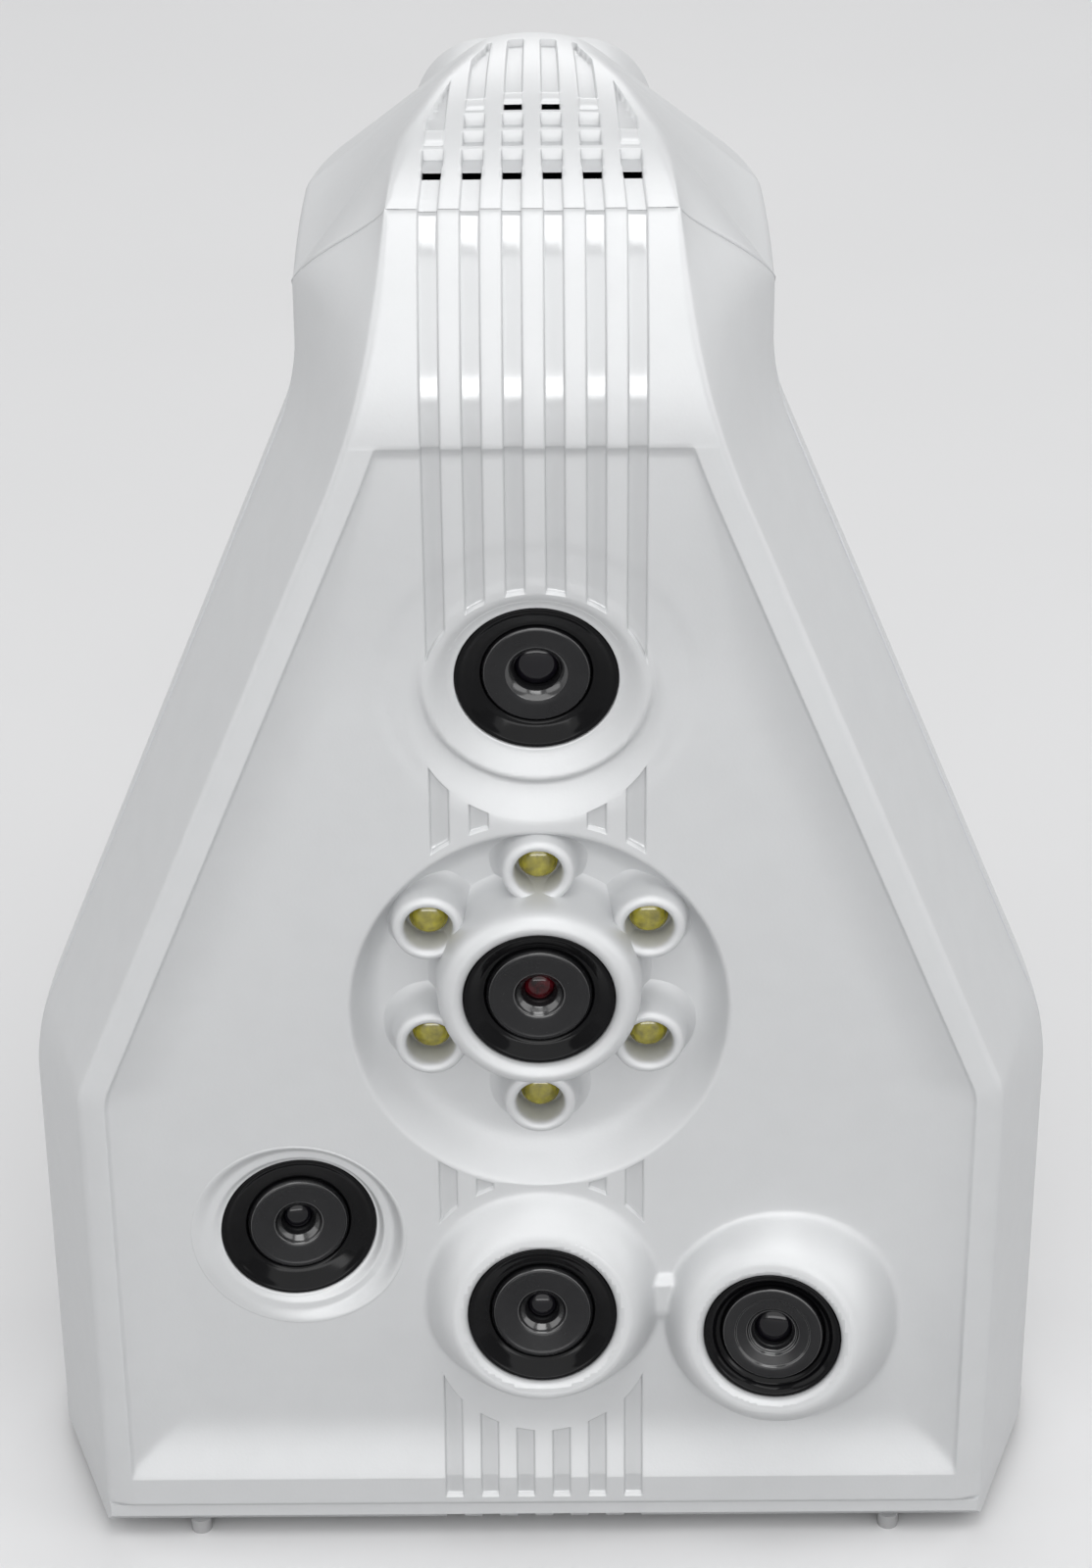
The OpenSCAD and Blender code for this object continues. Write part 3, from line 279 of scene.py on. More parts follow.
def grain(tree, scale, detail):
    coord = tree.nodes.new("ShaderNodeTexCoord")
    noise = tree.nodes.new("ShaderNodeTexNoise")
    noise.inputs["Scale"].default_value = scale
    noise.inputs["Detail"].default_value = detail
    tree.links.new(coord.outputs["Object"], noise.inputs["Vector"])
    return noise.outputs["Fac"]


def finish_material(name, dark, light, rough, bump=0.0, metallic=0.0, coat=0.0, spread=220.0, gloss=0.5):
    """Moulded or machined surface: slow colour drift, fine grain in the gloss and a fine bump."""
    m = bpy.data.materials.new(name)
    m.use_nodes = True
    tree = m.node_tree
    shader = tree.nodes["Principled BSDF"]
    ramp = tree.nodes.new("ShaderNodeValToRGB")
    for element, position, color in zip(ramp.color_ramp.elements, DRIFT_BAND, (dark, light)):
        element.position = position
        element.color = (*color, 1)
    tree.links.new(grain(tree, spread, DRIFT_DETAIL), ramp.inputs["Fac"])
    tree.links.new(ramp.outputs["Color"], shader.inputs["Base Color"])
    speck = grain(tree, SPECK_SCALE, SPECK_DETAIL)
    span = tree.nodes.new("ShaderNodeMapRange")
    span.inputs["To Min"].default_value, span.inputs["To Max"].default_value = rough
    tree.links.new(speck, span.inputs["Value"])
    tree.links.new(span.outputs["Result"], shader.inputs["Roughness"])
    shader.inputs["Metallic"].default_value = metallic
    shader.inputs["Coat Weight"].default_value = coat
    shader.inputs["Specular IOR Level"].default_value = gloss
    if bump:
        node = tree.nodes.new("ShaderNodeBump")
        node.inputs["Strength"].default_value = bump
        node.inputs["Distance"].default_value = BUMP_M
        tree.links.new(speck, node.inputs["Height"])
        tree.links.new(node.outputs["Normal"], shader.inputs["Normal"])
    return m


casing_mat = finish_material(
    "casing_pearl", (0.572, 0.58, 0.587), (0.584, 0.592, 0.599), (0.44, 0.56), 0.3, metallic=0.25, gloss=0.9)
groove_mat = finish_material(
    "casing_polished", (0.56, 0.568, 0.575), (0.572, 0.58, 0.587), (0.1, 0.16), 0.03, metallic=0.15)
bezel_mat = finish_material(
    "bezel_gloss", (0.002, 0.002, 0.0024), (0.004, 0.004, 0.0046), (0.08, 0.14), 0.02, gloss=0.12)
barrel_mat = finish_material(
    "barrel_satin", (0.007, 0.007, 0.008), (0.011, 0.011, 0.012), (0.2, 0.3), 0.1, gloss=0.27)
lip_mat = finish_material(
    "bevel_polished", (0.004, 0.004, 0.0046), (0.006, 0.006, 0.0068), (0.14, 0.2), 0.02, gloss=1.0)
gasket_mat = finish_material(
    "gasket_strip", (0.06, 0.065, 0.24), (0.075, 0.08, 0.3), (0.4, 0.55), 0.1)
led_mat = finish_material(
    "led_phosphor", (0.17, 0.145, 0.002), (0.4, 0.35, 0.008), (0.08, 0.2), 0.05, coat=1.0, spread=900.0)
glass_mat = finish_material(
    "coated_glass", (0.002, 0.002, 0.003), (0.005, 0.004, 0.007), (0.04, 0.08), gloss=0.3)
# Glass of the texture camera: dark glass, with the red reflection of its coating painted into its colour in
# patches
painted_red_reflection_glass_mat = finish_material(
    "coated_glass_painted_red_reflection", (0.008, 0.0005, 0.001), (0.085, 0.002, 0.006), (0.04, 0.08), spread=700.0, gloss=0.3)
# Finishes of the slots that only the solids use
SLOT_FINISHES = {
    "foot": ("foot_rubber", (0.36, 0.36, 0.365), (0.41, 0.41, 0.415), (0.5, 0.65), 0.2),
    "circuit": ("circuit_laminate", (0.012, 0.07, 0.03), (0.02, 0.1, 0.045), (0.35, 0.5), 0.1),
    "alloy": ("alloy_satin", (0.5, 0.51, 0.52), (0.56, 0.57, 0.58), (0.3, 0.42), 0.1, 1.0),
    "steel": ("steel_satin", (0.45, 0.45, 0.46), (0.52, 0.52, 0.53), (0.22, 0.34), 0.08, 1.0),
    "black_plastic": ("black_moulding", (0.014, 0.014, 0.015), (0.022, 0.022, 0.024), (0.4, 0.55), 0.2),
    "rocker": ("rocker_satin", (0.07, 0.071, 0.075), (0.085, 0.086, 0.09), (0.35, 0.48), 0.25),
    "slider": ("slider_white", (0.6, 0.6, 0.58), (0.66, 0.66, 0.64), (0.4, 0.5), 0.1),
    "light": ("light_pipe", (0.36, 0.6, 0.42), (0.42, 0.66, 0.48), (0.15, 0.25), 0.05, 0.0, 0.4)}
SLOT_MATERIALS = {slot: finish_material(*finish) for slot, finish in SLOT_FINISHES.items()}
SLOT_MATERIALS.update(casing=casing_mat, gasket=gasket_mat, bezel=bezel_mat, barrel=barrel_mat,
                      glass=glass_mat, led=led_mat)
for part in frame["record"]["subparts"]:
    node = frame["nodes"][part["node"]]
    node.data.materials.clear()
    node.data.materials.append(SLOT_MATERIALS[part["material_slot"]])

# Front face: a sunk plate with a dish, a bowl, a recess and two domes round the lenses

RAMP_BOW, PANEL_STEP_W = 0.65, 0.4
TOP_SHARE, TOP_FADE = 0.3, 34
TOP_EDGE, TOP_EDGE_W = 0.2, 1.2
RAMP_BLEND, TOP_BLEND = 0.12, 0.2
# Dish: oval, with a wall that widens downwards and a floor that leans back a little
DISH_Z, DISH_HALF_W, DISH_HALF_H = 80.7, 23.2, 25.4
DISH_WALL, DISH_WALL_LOW, DISH_WIDEN_Z, DISH_WIDEN_H = 0.16, 0.14, 92, 32
DISH_TOE = 0.05
DISH_FLOOR_U, DISH_FLOOR_Z, DISH_LEAN = 6.0, 81.4, 0.012
# Bowl of the projector, in two steps: one about its own middle and one about the lens
BOWL_Z, BOWL_R, BOWL_U, BOWL_FLAT = 122.4, 15.5, 4.3, 0.64
BOWL_RISE, BOWL_RISE_R, BOWL_RISE_W = 1.5, 9.7, 3.6
BOWL_STEP_R, BOWL_STEP_W = 13.0, 1.1
BOWL_FADE_R, BOWL_FADE_W, BOWL_END_R = 17.5, 2, 19
BOWL_BLEND, BOWL_LIFT = 0.25, 0.02
# Recess of the left camera: share of the way up to the panel, start and width of each step
RECESS_STEPS = [(0.4, 9.95, 1.0), (0.6, 11.7, 1.8)]
RECESS_END_R = 13.5
# Domes of the middle and right cameras, and the web between them
DOME_LIP, DOME_POWER = 0.8, 1.5
DOME_BLEND, WEB_BLEND, FOOT_BLEND = 0.35, 0.5, 0.55
WEB_X, WEB_HALF_W, WEB_POWER, WEB_U, WEB_RISE = 15.2, 3.2, 4, 6, 5.1
WEB_TOP_Z, WEB_TOP_FADE, WEB_LOW_Z, WEB_LOW_FADE = 43.0, 2.4, 29.5, 7.5


def panel_depth(x, z):
    """Depth of the plate inside the rim, with its slopes at the sides, the ramp below and the fade above."""
    side = np.maximum(0, half_front(z) - RIM_W - np.abs(x))
    t = np.clip((z - PANEL_BOTTOM) / RAMP_H, 0, 1)
    ramp = PANEL_DEEP * (RAMP_BOW * t * (2 - t) + (1 - RAMP_BOW) * ease(t))
    w = np.clip(side / PANEL_SPREAD, 0, 1)
    slope = PANEL_SIDE * ease(side / PANEL_STEP_W) + (PANEL_DEEP - PANEL_SIDE) * w * (2 - w)
    top = PANEL_DEEP * (TOP_SHARE + (1 - TOP_SHARE) * ease((ARCH_Z - z) / TOP_FADE))
    top = top * ease((ARCH_Z + TOP_EDGE - z) / TOP_EDGE_W)
    return np.maximum(0, soft_min(soft_min(slope, ramp, RAMP_BLEND), top, TOP_BLEND))


def dome_profile(lens, rim, side, top, bottom, drop):
    """Rim round a bezel that rounds off into a skirt.

    The skirt's reach is given at the side, the top and the bottom."""
    r0 = lens.bezel_r + rim

    def profile(r, up):
        reach = side + (top - side) * np.maximum(0, up) ** DOME_POWER
        reach = reach + (bottom - side) * np.maximum(0, -up) ** DOME_POWER
        t = np.maximum(0, r - r0) / reach
        fall = drop * (1 - np.cos(math.pi / 2 * np.minimum(t, 1)))
        return DOME_LIP - fall - drop * math.pi / 2 * np.maximum(0, t - 1)
    return profile


MIDDLE_DOME = dome_profile(MIDDLE, rim=1.3, side=5.0, top=8.6, bottom=4.0, drop=7.6)
RIGHT_DOME = dome_profile(RIGHT, rim=1.6, side=4.7, top=6.8, bottom=5.4, drop=8.6)


def projector_profile(r, up=0.0):
    return BOWL_RISE * ease((r - BOWL_RISE_R) / BOWL_RISE_W)


def flat_profile(r, up):
    return np.zeros_like(r)


def with_dish(d, x, z):
    rho = np.hypot(x / DISH_HALF_W, (z - DISH_Z) / DISH_HALF_H)
    width = DISH_WALL + DISH_WALL_LOW * ease((DISH_WIDEN_Z - z) / DISH_WIDEN_H)
    inner = np.clip((1 - rho) / width, 0, 1)
    inner = (1 + DISH_TOE) * inner ** 2 / (inner + DISH_TOE)
    floor = DISH_FLOOR_U - DISH_LEAN * (z - DISH_FLOOR_Z)
    return d + np.maximum(0, floor - d) * (1 - (1 - inner) ** 2)


def with_bowl(d, flat, x, z):
    plane, r = PROJECTOR.depth(x, z, projector_profile)
    rho = np.hypot(x, z - BOWL_Z) / BOWL_R
    outer = flat + np.maximum(0, BOWL_U - flat) * (1 - ease((rho - BOWL_FLAT) / (1 - BOWL_FLAT)))
    step = ease((r - BOWL_STEP_R) / BOWL_STEP_W)
    bowl = plane * (1 - step) + outer * step
    near = 1 - ease((r - BOWL_FADE_R) / BOWL_FADE_W)
    return d + near * (soft_max(d, np.where(r < BOWL_END_R, bowl, d), BOWL_BLEND) - BOWL_LIFT - d)


def with_recess(d, x, z):
    plane, r = LEFT.depth(x, z, flat_profile)
    way = sum(share * ease((r - start) / width) for share, start, width in RECESS_STEPS)
    return np.where(r < RECESS_END_R, plane + (d - plane) * way, d)


def dome_depth(x, z):
    middle, _ = MIDDLE.depth(x, z, MIDDLE_DOME)
    right, _ = RIGHT.depth(x, z, RIGHT_DOME)
    web = np.exp(-((x - WEB_X) / WEB_HALF_W) ** WEB_POWER)
    web = web * ease((WEB_TOP_Z - z) / WEB_TOP_FADE) * ease((z - WEB_LOW_Z) / WEB_LOW_FADE)
    return soft_min(soft_min(middle, right, DOME_BLEND), WEB_U - WEB_RISE * web, WEB_BLEND)


def face_depth(x, z):
    """Depth of the front face behind the rim, without the grooves."""
    flat = panel_depth(x, z)
    d = with_recess(with_bowl(with_dish(flat, x, z), flat, x, z), x, z)
    return soft_min(d, dome_depth(x, z), FOOT_BLEND)


# Front skin: one grid over the face, its flanks and the arch up to the crease

# Arcs that stop the grooves below and above the middle camera, the dish and the bowl: which side of the
# circle, the height of its centre and its radius
GROOVE_ARCS = [(-1, 30.25, 13.53), (1, 39.96, 15.96), (-1, 75.95, 21.14), (1, 86.4, 21.1),
               (-1, 122.3, 14.71), (1, 124.53, 13.48)]
GROOVE_START_Z, ARC_REACH = 7.4, 12.95
# Rows between one row line and the next, and the distance of the close rows beside each line
ROW_COUNTS = [4, 6, 22, 92, 40, 140, 14, 76, 36, 46]
EDGE = 0.1
# Stretches between row lines that have grooves, by number, and the mark of a row on a line
FOOT, RAMP, LOW_GAP, HIGH_GAP, SPINE, ARCH = 1, 2, 4, 6, 8, 9
ON_LINE = -1
HALF_GAP, LEAST_GAP = 0.4, 0.9
# Columns over a groove: offset inwards from its edge and share of its depth, then offsets from its middle
GROOVE_WALL = [(-0.16, 0.0), (0.0, 0.05), (0.07, 0.95), (0.2, 1.0)]
GROOVE_FLOOR = [-0.5, 0.0, 0.5]
FLOOR_SHARE = 0.9
RIB_NEAR, RIB_FAR = 0.6, 1.75
# Columns of the plate and its rim
SPINE_END, SPINE_MARGIN, PANEL_MARGIN, NEAR_SHARE = 13.6, 1.7, 0.7, 0.38
N_INNER, N_OUTER, N_KNEE, N_FLANK = 44, 56, 6, 12
STEP_X, RIM_SHARES = [-0.45, -0.25, -0.1], [0.05, 0.38]
KNEE, KNEE_SHARE = 0.9, 0.3
FALL_END, FALL_FADE, FALL_POWER, LEAST_RIM = 2, 22, 1.4, 0.1
# Ends of the skin: rounding at the base and the crease, and its turn into the seam, by the way back along
# the flank and the way inwards
BASE_ROUND, CREASE_ROUND, ROUND_W = 0.35, 0.16, 0.4
SEAM_TAIL, TAIL_SHARE = 0.35, 0.2
SEAM_TURN = [(0.06, 0.088), (0.0, 0.264), (0.0, 1.54)]
# Holes for the lenses and the flash lights, and the depth that they reach
LENS_HOLES = [(PROJECTOR, 10.5), (TEXTURE, 11.4), (MIDDLE, 10.2), (RIGHT, 9.5), (LEFT, 13.0)]
FLASH_HOLE_R, HOLE_U = 3.6, 12


def groove_stops(x):
    """Row lines at each column, the ends of the grooves round the lenses among them, and the two gaps."""
    one = np.ones_like(x)
    stops = [BASE_TOP * one, GROOVE_START_Z * one, PANEL_BOTTOM * one]
    for way, centre, r in GROOVE_ARCS:
        stops.append(centre + way * np.sqrt(r * r - np.minimum(np.abs(x), ARC_REACH) ** 2))
    stops += [ARCH_Z * one, CREASE_V * one]
    gaps = {}
    for low in (LOW_GAP, HIGH_GAP):
        gaps[low] = stops[low + 1] - stops[low]
        middle = (stops[low] + stops[low + 1]) / 2
        stops[low] = np.minimum(stops[low], middle - HALF_GAP)
        stops[low + 1] = np.maximum(stops[low + 1], middle + HALF_GAP)
    return np.array(stops), gaps


def half_columns():
    """Nominal columns of the grooves from the centre outwards: x and the share of the groove's depth."""
    cols = [(0.0, 0.0), (RIB_NEAR, 0.0)]
    for k, c in enumerate(GROOVE_X):
        left, right = c - GROOVE_HALF, c + GROOVE_HALF
        cols += [(left + d, share) for d, share in GROOVE_WALL]
        cols += [(c + d, 1.0) for d in GROOVE_FLOOR]
        cols += [(right - d, share) for d, share in reversed(GROOVE_WALL)]
        if k < GROOVES - 1:
            cols += [(right + RIB_NEAR, 0.0), (c + GROOVE_PITCH / 2, 0.0), (right + RIB_FAR, 0.0)]
    return np.array(cols)


HALF_X, HALF_SHARE = half_columns().T


def skin_rows(stops):
    """Rows of a column, with close pairs at the row lines, and the stretch that each row lies in."""
    v, marks = [], []
    for i, count in enumerate(ROW_COUNTS):
        t = np.linspace(0, 1, count + 1)[1:-1]
        inner = stops[i] + EDGE + (stops[i + 1] - stops[i] - 2 * EDGE) * t
        v += [stops[i], stops[i] + EDGE, *inner, stops[i + 1] - EDGE]
        marks += [ON_LINE] + [i] * (count + 1)
    return np.array(v + [stops[-1]]), np.array(marks + [ON_LINE])


def groove_depths(marks, gaps):
    """Depth of the grooves at each row and column; a gap that is too short has none."""
    last = len(marks) - 1
    on = np.zeros((len(marks), len(HALF_X)))
    for stretch in (FOOT, RAMP, SPINE, ARCH):
        on[marks == stretch] = 1
    for stretch, gap in gaps.items():
        on[marks == stretch] = gap[:len(HALF_X)] > LEAST_GAP
    for i in np.where(marks == ON_LINE)[0]:
        inside = 0 < i < last and marks[i - 1] in (FOOT, SPINE) and marks[i + 1] in (RAMP, ARCH)
        on[i] = inside or i == last
    return on * HALF_SHARE * GROOVE_DEPTH


def skin_columns(v_spine, v_side, groove, panel_edge, front_edge):
    """Columns of the right half from the centre to the rim: x, v and the groove's depth in each row."""
    none = np.zeros_like(v_side)
    cols = [(none + x, v, d) for x, v, d in zip(HALF_X, v_spine.T, groove.T)]
    spine_x, spine_v = HALF_X[-1], v_spine[:, -1]
    panel_end = panel_edge - PANEL_MARGIN
    near_end = spine_x + (panel_end - spine_x) * NEAR_SHARE
    cols += [(spine_x + (near_end - spine_x) * t, spine_v + (v_side - spine_v) * t, none)
             for t in steps(N_INNER)]
    cols += [(near_end + (panel_end - near_end) * t, v_side, none) for t in steps(N_OUTER)]
    rim = front_edge - panel_edge
    rim_x = [panel_edge + d for d in STEP_X] + [panel_edge] + [panel_edge + rim * s for s in RIM_SHARES]
    rim_x.append(front_edge - np.minimum(KNEE, rim * KNEE_SHARE))
    cols += [(x, v_side, none) for x in rim_x]
    return (np.stack(c, 1) for c in zip(*cols))


def arch_place(v, d):
    """Depth u and height z at v on the rim's way, sunk by d."""
    theta = np.maximum(0, v - ARCH_Z) / ARCH_R
    u = np.where(v <= ARCH_Z, d, ARCH_R - (ARCH_R - d) * np.cos(theta))
    return u, np.where(v <= ARCH_Z, v, ARCH_Z + (ARCH_R - d) * np.sin(theta))


def skin_surface(x, v, extra):
    """Points of the face and the arch, sunk by the extra depth."""
    d = np.where(v <= ARCH_Z, face_depth(x, np.minimum(v, ARCH_Z)), 0) + extra
    d = d + BASE_ROUND * ease((BASE_TOP + ROUND_W - v) / ROUND_W)
    d = d + CREASE_ROUND * np.clip((v - CREASE_V + ROUND_W) / ROUND_W, 0, 1) ** 2
    u, z = arch_place(v, d)
    return np.stack([x, u, z], -1)


def skin_grid():
    """Grid of the whole skin from left to right, and the grooves' depth in the right half of the spine."""
    stops, gaps = groove_stops(np.append(HALF_X, SPINE_END))
    rows = [skin_rows(column) for column in stops.T]
    marks = rows[0][1]
    v_spine, v_side = np.stack([v for v, _ in rows[:-1]], 1), rows[-1][0]
    groove = groove_depths(marks, gaps)
    u_row, z_row = arch_place(v_side, 0)
    front_edge = half_front(z_row)
    panel_edge = np.maximum(front_edge - RIM_W, HALF_X[-1] + SPINE_MARGIN)
    x, v, extra = skin_columns(v_spine, v_side, groove, panel_edge, front_edge)
    fall = RIM_FALL * ease((ARCH_Z - FALL_END - v_side) / FALL_FADE)
    rim = np.maximum(front_edge - panel_edge, LEAST_RIM)
    extra = extra + fall[:, None] * np.clip((x - panel_edge[:, None]) / rim[:, None], 0, 1) ** FALL_POWER

    end_u = np.minimum(SEAM_U, CUT_SUM - z_row)
    end_x = front_edge + (half_seam(z_row) - front_edge) * ((end_u - u_row) / (SEAM_U - u_row))
    corner = np.stack([front_edge, u_row + fall, z_row], -1)
    end = np.stack([end_x, end_u, z_row], -1)
    span = np.linalg.norm(end - corner, axis=1, keepdims=True)
    along = (end - corner) / np.maximum(span, TINY)
    reach = np.minimum(KNEE, span * KNEE_SHARE)
    tail = np.minimum(SEAM_TAIL, span * TAIL_SHARE)
    knee_end = corner + along * reach

    def half(sign):
        mirror = np.array([sign, 1, 1])
        face = skin_surface(sign * x, v, extra)
        curves = [bezier(face[:, -1] * mirror, corner, knee_end, s) for s in steps(N_KNEE)]
        curves += [knee_end + along * (span - reach - tail) * s for s in steps(N_FLANK)]
        curves += [end - along * back - np.array([inwards, 0, 0]) for back, inwards in SEAM_TURN]
        return np.concatenate([face, np.stack(curves, 1) * mirror], 1)

    return np.concatenate([half(-1)[:, :0:-1], half(1)], 1), groove


def front_skin():
    grid, groove = skin_grid()
    centre = (grid[:-1, :-1] + grid[1:, 1:]) / 2
    keep = np.ones(centre.shape[:2], bool)
    front = centre[..., 1] < HOLE_U
    for lens, hole_r in LENS_HOLES:
        q = centre - lens.c
        keep &= ~((np.hypot(q @ lens.ax, q @ lens.ay) < hole_r) & front)
    for fx, fz in FLASHES:
        keep &= ~((np.hypot(centre[..., 0] - fx, centre[..., 2] - fz) < FLASH_HOLE_R) & front)
    deep = both_sides(groove, grid.shape[1]) > FLOOR_SHARE * GROOVE_DEPTH
    floors = cell_corners(deep).all(axis=0)[keep]
    faces = grid_faces(*grid.shape[:2], keep)
    return make_object("front_skin", grid.reshape(-1, 3), faces, casing_mat,
                       second=groove_mat, marked=floors)


skin = front_skin()
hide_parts("front_shell")

# Rims, collar and cups set into the front skin: profiles as (radius, height above the bezel's face)

BORE_DEEP, PROUD = -2.0, 0.02
RECESS_BORE, RECESS_START = 0.02, 0.06
RECESS_R, RECESS_RINGS, RECESS_SINK = 13.8, 32, 0.1
# Rims of the projector and the domes, with the radius counted from the bezel's side
BOWL_RIM_BORE, BOWL_RIM_END = [(0.02, BORE_DEEP), (0.04, -0.1)], (1.6, -0.12)
BOWL_RIM_START, BOWL_RIM_STOP, BOWL_RIM_POINTS = 0.12, 1.35, 9
DOME_RIM = [(0.03, BORE_DEEP), (0.05, -0.15), (0.12, 0.15), (0.3, 0.45), (0.6, 0.68), (1.0, 0.8),
            (1.5, 0.825), (1.9, 0.77), (2.2, 0.55)]
COLLAR_SEGMENTS, CUP_SEGMENTS = 128, 64
COLLAR = [(9.2, BORE_DEEP), (9.22, -0.1), (9.3, 0.25), (9.5, 0.6), (9.85, 0.9), (10.3, 1.08), (10.7, 1.05),
          (11.1, 0.88), (11.5, 0.55), (11.85, 0.05), (12.1, -0.6), (12.25, -1.4), (12.33, -2.4), (12.4, -4.2),
          (12.5, -6.2), (12.7, -7.4), (13.1, -8.2), (13.8, -8.75), (14.8, -9.1)]
CUP = [(0.0, -8.2), (2.86, -8.2), (2.9, -7.8), (2.9, -4.7), (2.95, -4.25), (3.1, -3.9), (3.35, -3.66),
       (3.7, -3.6), (4.0, -3.7), (4.25, -3.95), (4.4, -4.4), (4.5, -5.2), (4.66, -6.4), (4.95, -7.4),
       (5.4, -8.15), (6.1, -8.7), (7.0, -9.1)]


def projector_rim():
    """Profile of the projector's rim, which follows the bowl's slope a little proud of it."""
    b = PROJECTOR.bezel_r
    radii = np.linspace(b + BOWL_RIM_START, b + BOWL_RIM_STOP, BOWL_RIM_POINTS)
    slope = [(r, projector_profile(r) + PROUD) for r in radii]
    bore = [(b + d, f) for d, f in BOWL_RIM_BORE]
    return bore + slope + [(b + BOWL_RIM_END[0], slope[-1][1] + BOWL_RIM_END[1])]


def left_recess():
    """Points of the left camera's recess, ring by ring: a bore, then the face a little proud of the skin."""
    angle = round_angles(LENS_SEGMENTS)

    def ring(r, f):
        return LEFT.point(r * np.cos(angle), r * np.sin(angle), np.full(LENS_SEGMENTS, f))

    rings = [ring(LEFT.bezel_r + RECESS_BORE, BORE_DEEP)]
    for r in np.linspace(LEFT.bezel_r + RECESS_START, RECESS_R, RECESS_RINGS):
        p = ring(r, 0.0)
        p[:, 1] = face_depth(p[:, 0], p[:, 2]) + (RECESS_SINK if r == RECESS_R else -PROUD)
        rings.append(p)
    return np.concatenate(rings)


def lens_surrounds():
    rims = Build()
    rims.revolve(PROJECTOR, projector_rim())
    rims.add(left_recess(), ring_faces(RECESS_RINGS + 1, LENS_SEGMENTS))
    for lens in (MIDDLE, RIGHT):
        rims.revolve(lens, [(lens.bezel_r + d, f) for d, f in DOME_RIM])
    rims.revolve(TEXTURE, COLLAR, segments=COLLAR_SEGMENTS)
    for fx, fz in FLASHES:
        rims.revolve(TEXTURE, CUP, centre=(fx, fz - TEXTURE.c[2]), segments=CUP_SEGMENTS)
    make_object("lens_surrounds", rims.verts, rims.faces, casing_mat)


lens_surrounds()

# Lenses: black bezel, satin barrel with polished bevels, and coated glass

# Faces of the barrels from the bore to the side, and the radius of the pane
PROJECTOR_BARREL = [(0.0, -16.0), (2.55, -16.0), (2.6, -2.6), (2.75, -2.0), (3.2, -1.5), (3.6, -1.2),
                    (4.2, -1.05), (6.0, -0.95), (6.28, -1.1), (6.4, -1.4), (6.4, -24.0)]
RIGHT_BARREL = [(0.0, -16.0), (2.3, -16.0), (2.35, -2.4), (2.6, -2.1), (2.75, -1.6), (3.1, -1.5),
                (3.3, -1.15), (4.6, -0.95), (4.75, -0.7), (5.1, -0.62), (6.1, -0.62), (6.32, -0.75),
                (6.4, -1.1), (6.4, -20.0)]
PLAIN_BARREL = [(0.0, -16.0), (1.75, -16.0), (1.8, -2.9), (2.0, -2.55), (2.15, -2.0), (2.75, -1.45),
                (3.0, -1.05), (3.3, -0.95), (5.45, -0.7), (5.75, -0.6), (6.05, -0.7), (6.36, -1.1),
                (6.4, -1.4), (6.4, -20.0)]
BARRELS = {"projector": (PROJECTOR_BARREL, 2.58), "right_camera": (RIGHT_BARREL, 2.33)}
PLAIN = (PLAIN_BARREL, 1.78)
# Face of a bezel, with the radius of the outer points counted from its side
BEZEL_INNER = [(6.5, BORE_DEEP), (6.52, -1.3), (7.2, -1.12)]
BEZEL_OUTER = [(-1.1, -0.5), (-0.55, -0.12), (-0.12, -0.1), (-0.02, -0.4), (-0.02, BORE_DEEP)]
BEZEL_ROUND, BARREL_ROUND = 0.25, 0.18
# Pane: height of its edge, bulge, share of the bulge's half circle, points and depth of its side
PANE_F, PANE_BULGE, PANE_SHARE, PANE_POINTS, PANE_SIDE = -3.3, 0.75, 0.97, 12, -4.2
LIP_RISE = (24, 66)


def lip_faces(profile):
    """Marks the faces of a turned profile that lie like a bevel, by their slope in degrees."""
    run, rise = np.diff(np.array(profile), axis=0).T
    slope = np.degrees(np.arctan2(np.abs(rise), run))
    return np.repeat((slope > LIP_RISE[0]) & (slope < LIP_RISE[1]), LENS_SEGMENTS)


def lens_faces(lens):
    face, pane_r = BARRELS.get(lens.name, PLAIN)
    ring = rounded(BEZEL_INNER + [(lens.bezel_r + d, f) for d, f in BEZEL_OUTER], BEZEL_ROUND)
    face = rounded(face, BARREL_ROUND)
    pane = [(pane_r * t, PANE_F + PANE_BULGE * math.sqrt(max(0, 1 - (t * PANE_SHARE) ** 2)))
            for t in np.linspace(0, 1, PANE_POINTS)] + [(pane_r, PANE_SIDE)]
    # The texture camera's pane takes the glass with the painted red reflection
    pane_mat = painted_red_reflection_glass_mat if lens is TEXTURE else glass_mat
    for profile, piece, slot, mat, lip in ((ring, "bezel", "bezel", bezel_mat, None),
                                           (face, "lens_barrel", "barrel", barrel_mat, lip_faces(face)),
                                           (pane, "lens_glass", "glass", pane_mat, None)):
        build = Build()
        build.revolve(lens, profile)
        obj = make_object(f"{lens.name}_{piece}_face", build.verts, build.faces, mat,
                          second=None if lip is None else lip_mat, marked=lip)
        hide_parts(f"{lens.name}_{piece}")


for lens in LENSES:
    lens_faces(lens)

# Flash lights: domed body with a collar, standing in the cups

LED_R, LED_F, LED_RISE, LED_POINTS, LED_SEGMENTS = 2.05, -6.75, 0.75, 10, 48
LED_COLLAR = [(2.08, -7.0), (2.3, -7.05), (2.35, -7.15), (2.35, -8.3)]


def flash_lights():
    turn = np.linspace(0, math.pi / 2, LED_POINTS)
    dome = [(LED_R * math.sin(a), LED_F + LED_RISE * math.cos(a)) for a in turn]
    leds = Build()
    for fx, fz in FLASHES:
        leds.revolve(TEXTURE, dome + LED_COLLAR, centre=(fx, fz - TEXTURE.c[2]), segments=LED_SEGMENTS)
    return make_object("flash_led_domes", leds.verts, leds.faces, led_mat)


led_obj = flash_lights()
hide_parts("flash_leds")

# Hood over the crease: vents in the grooves, a ridge that narrows to the back, flanks down to the shoulders

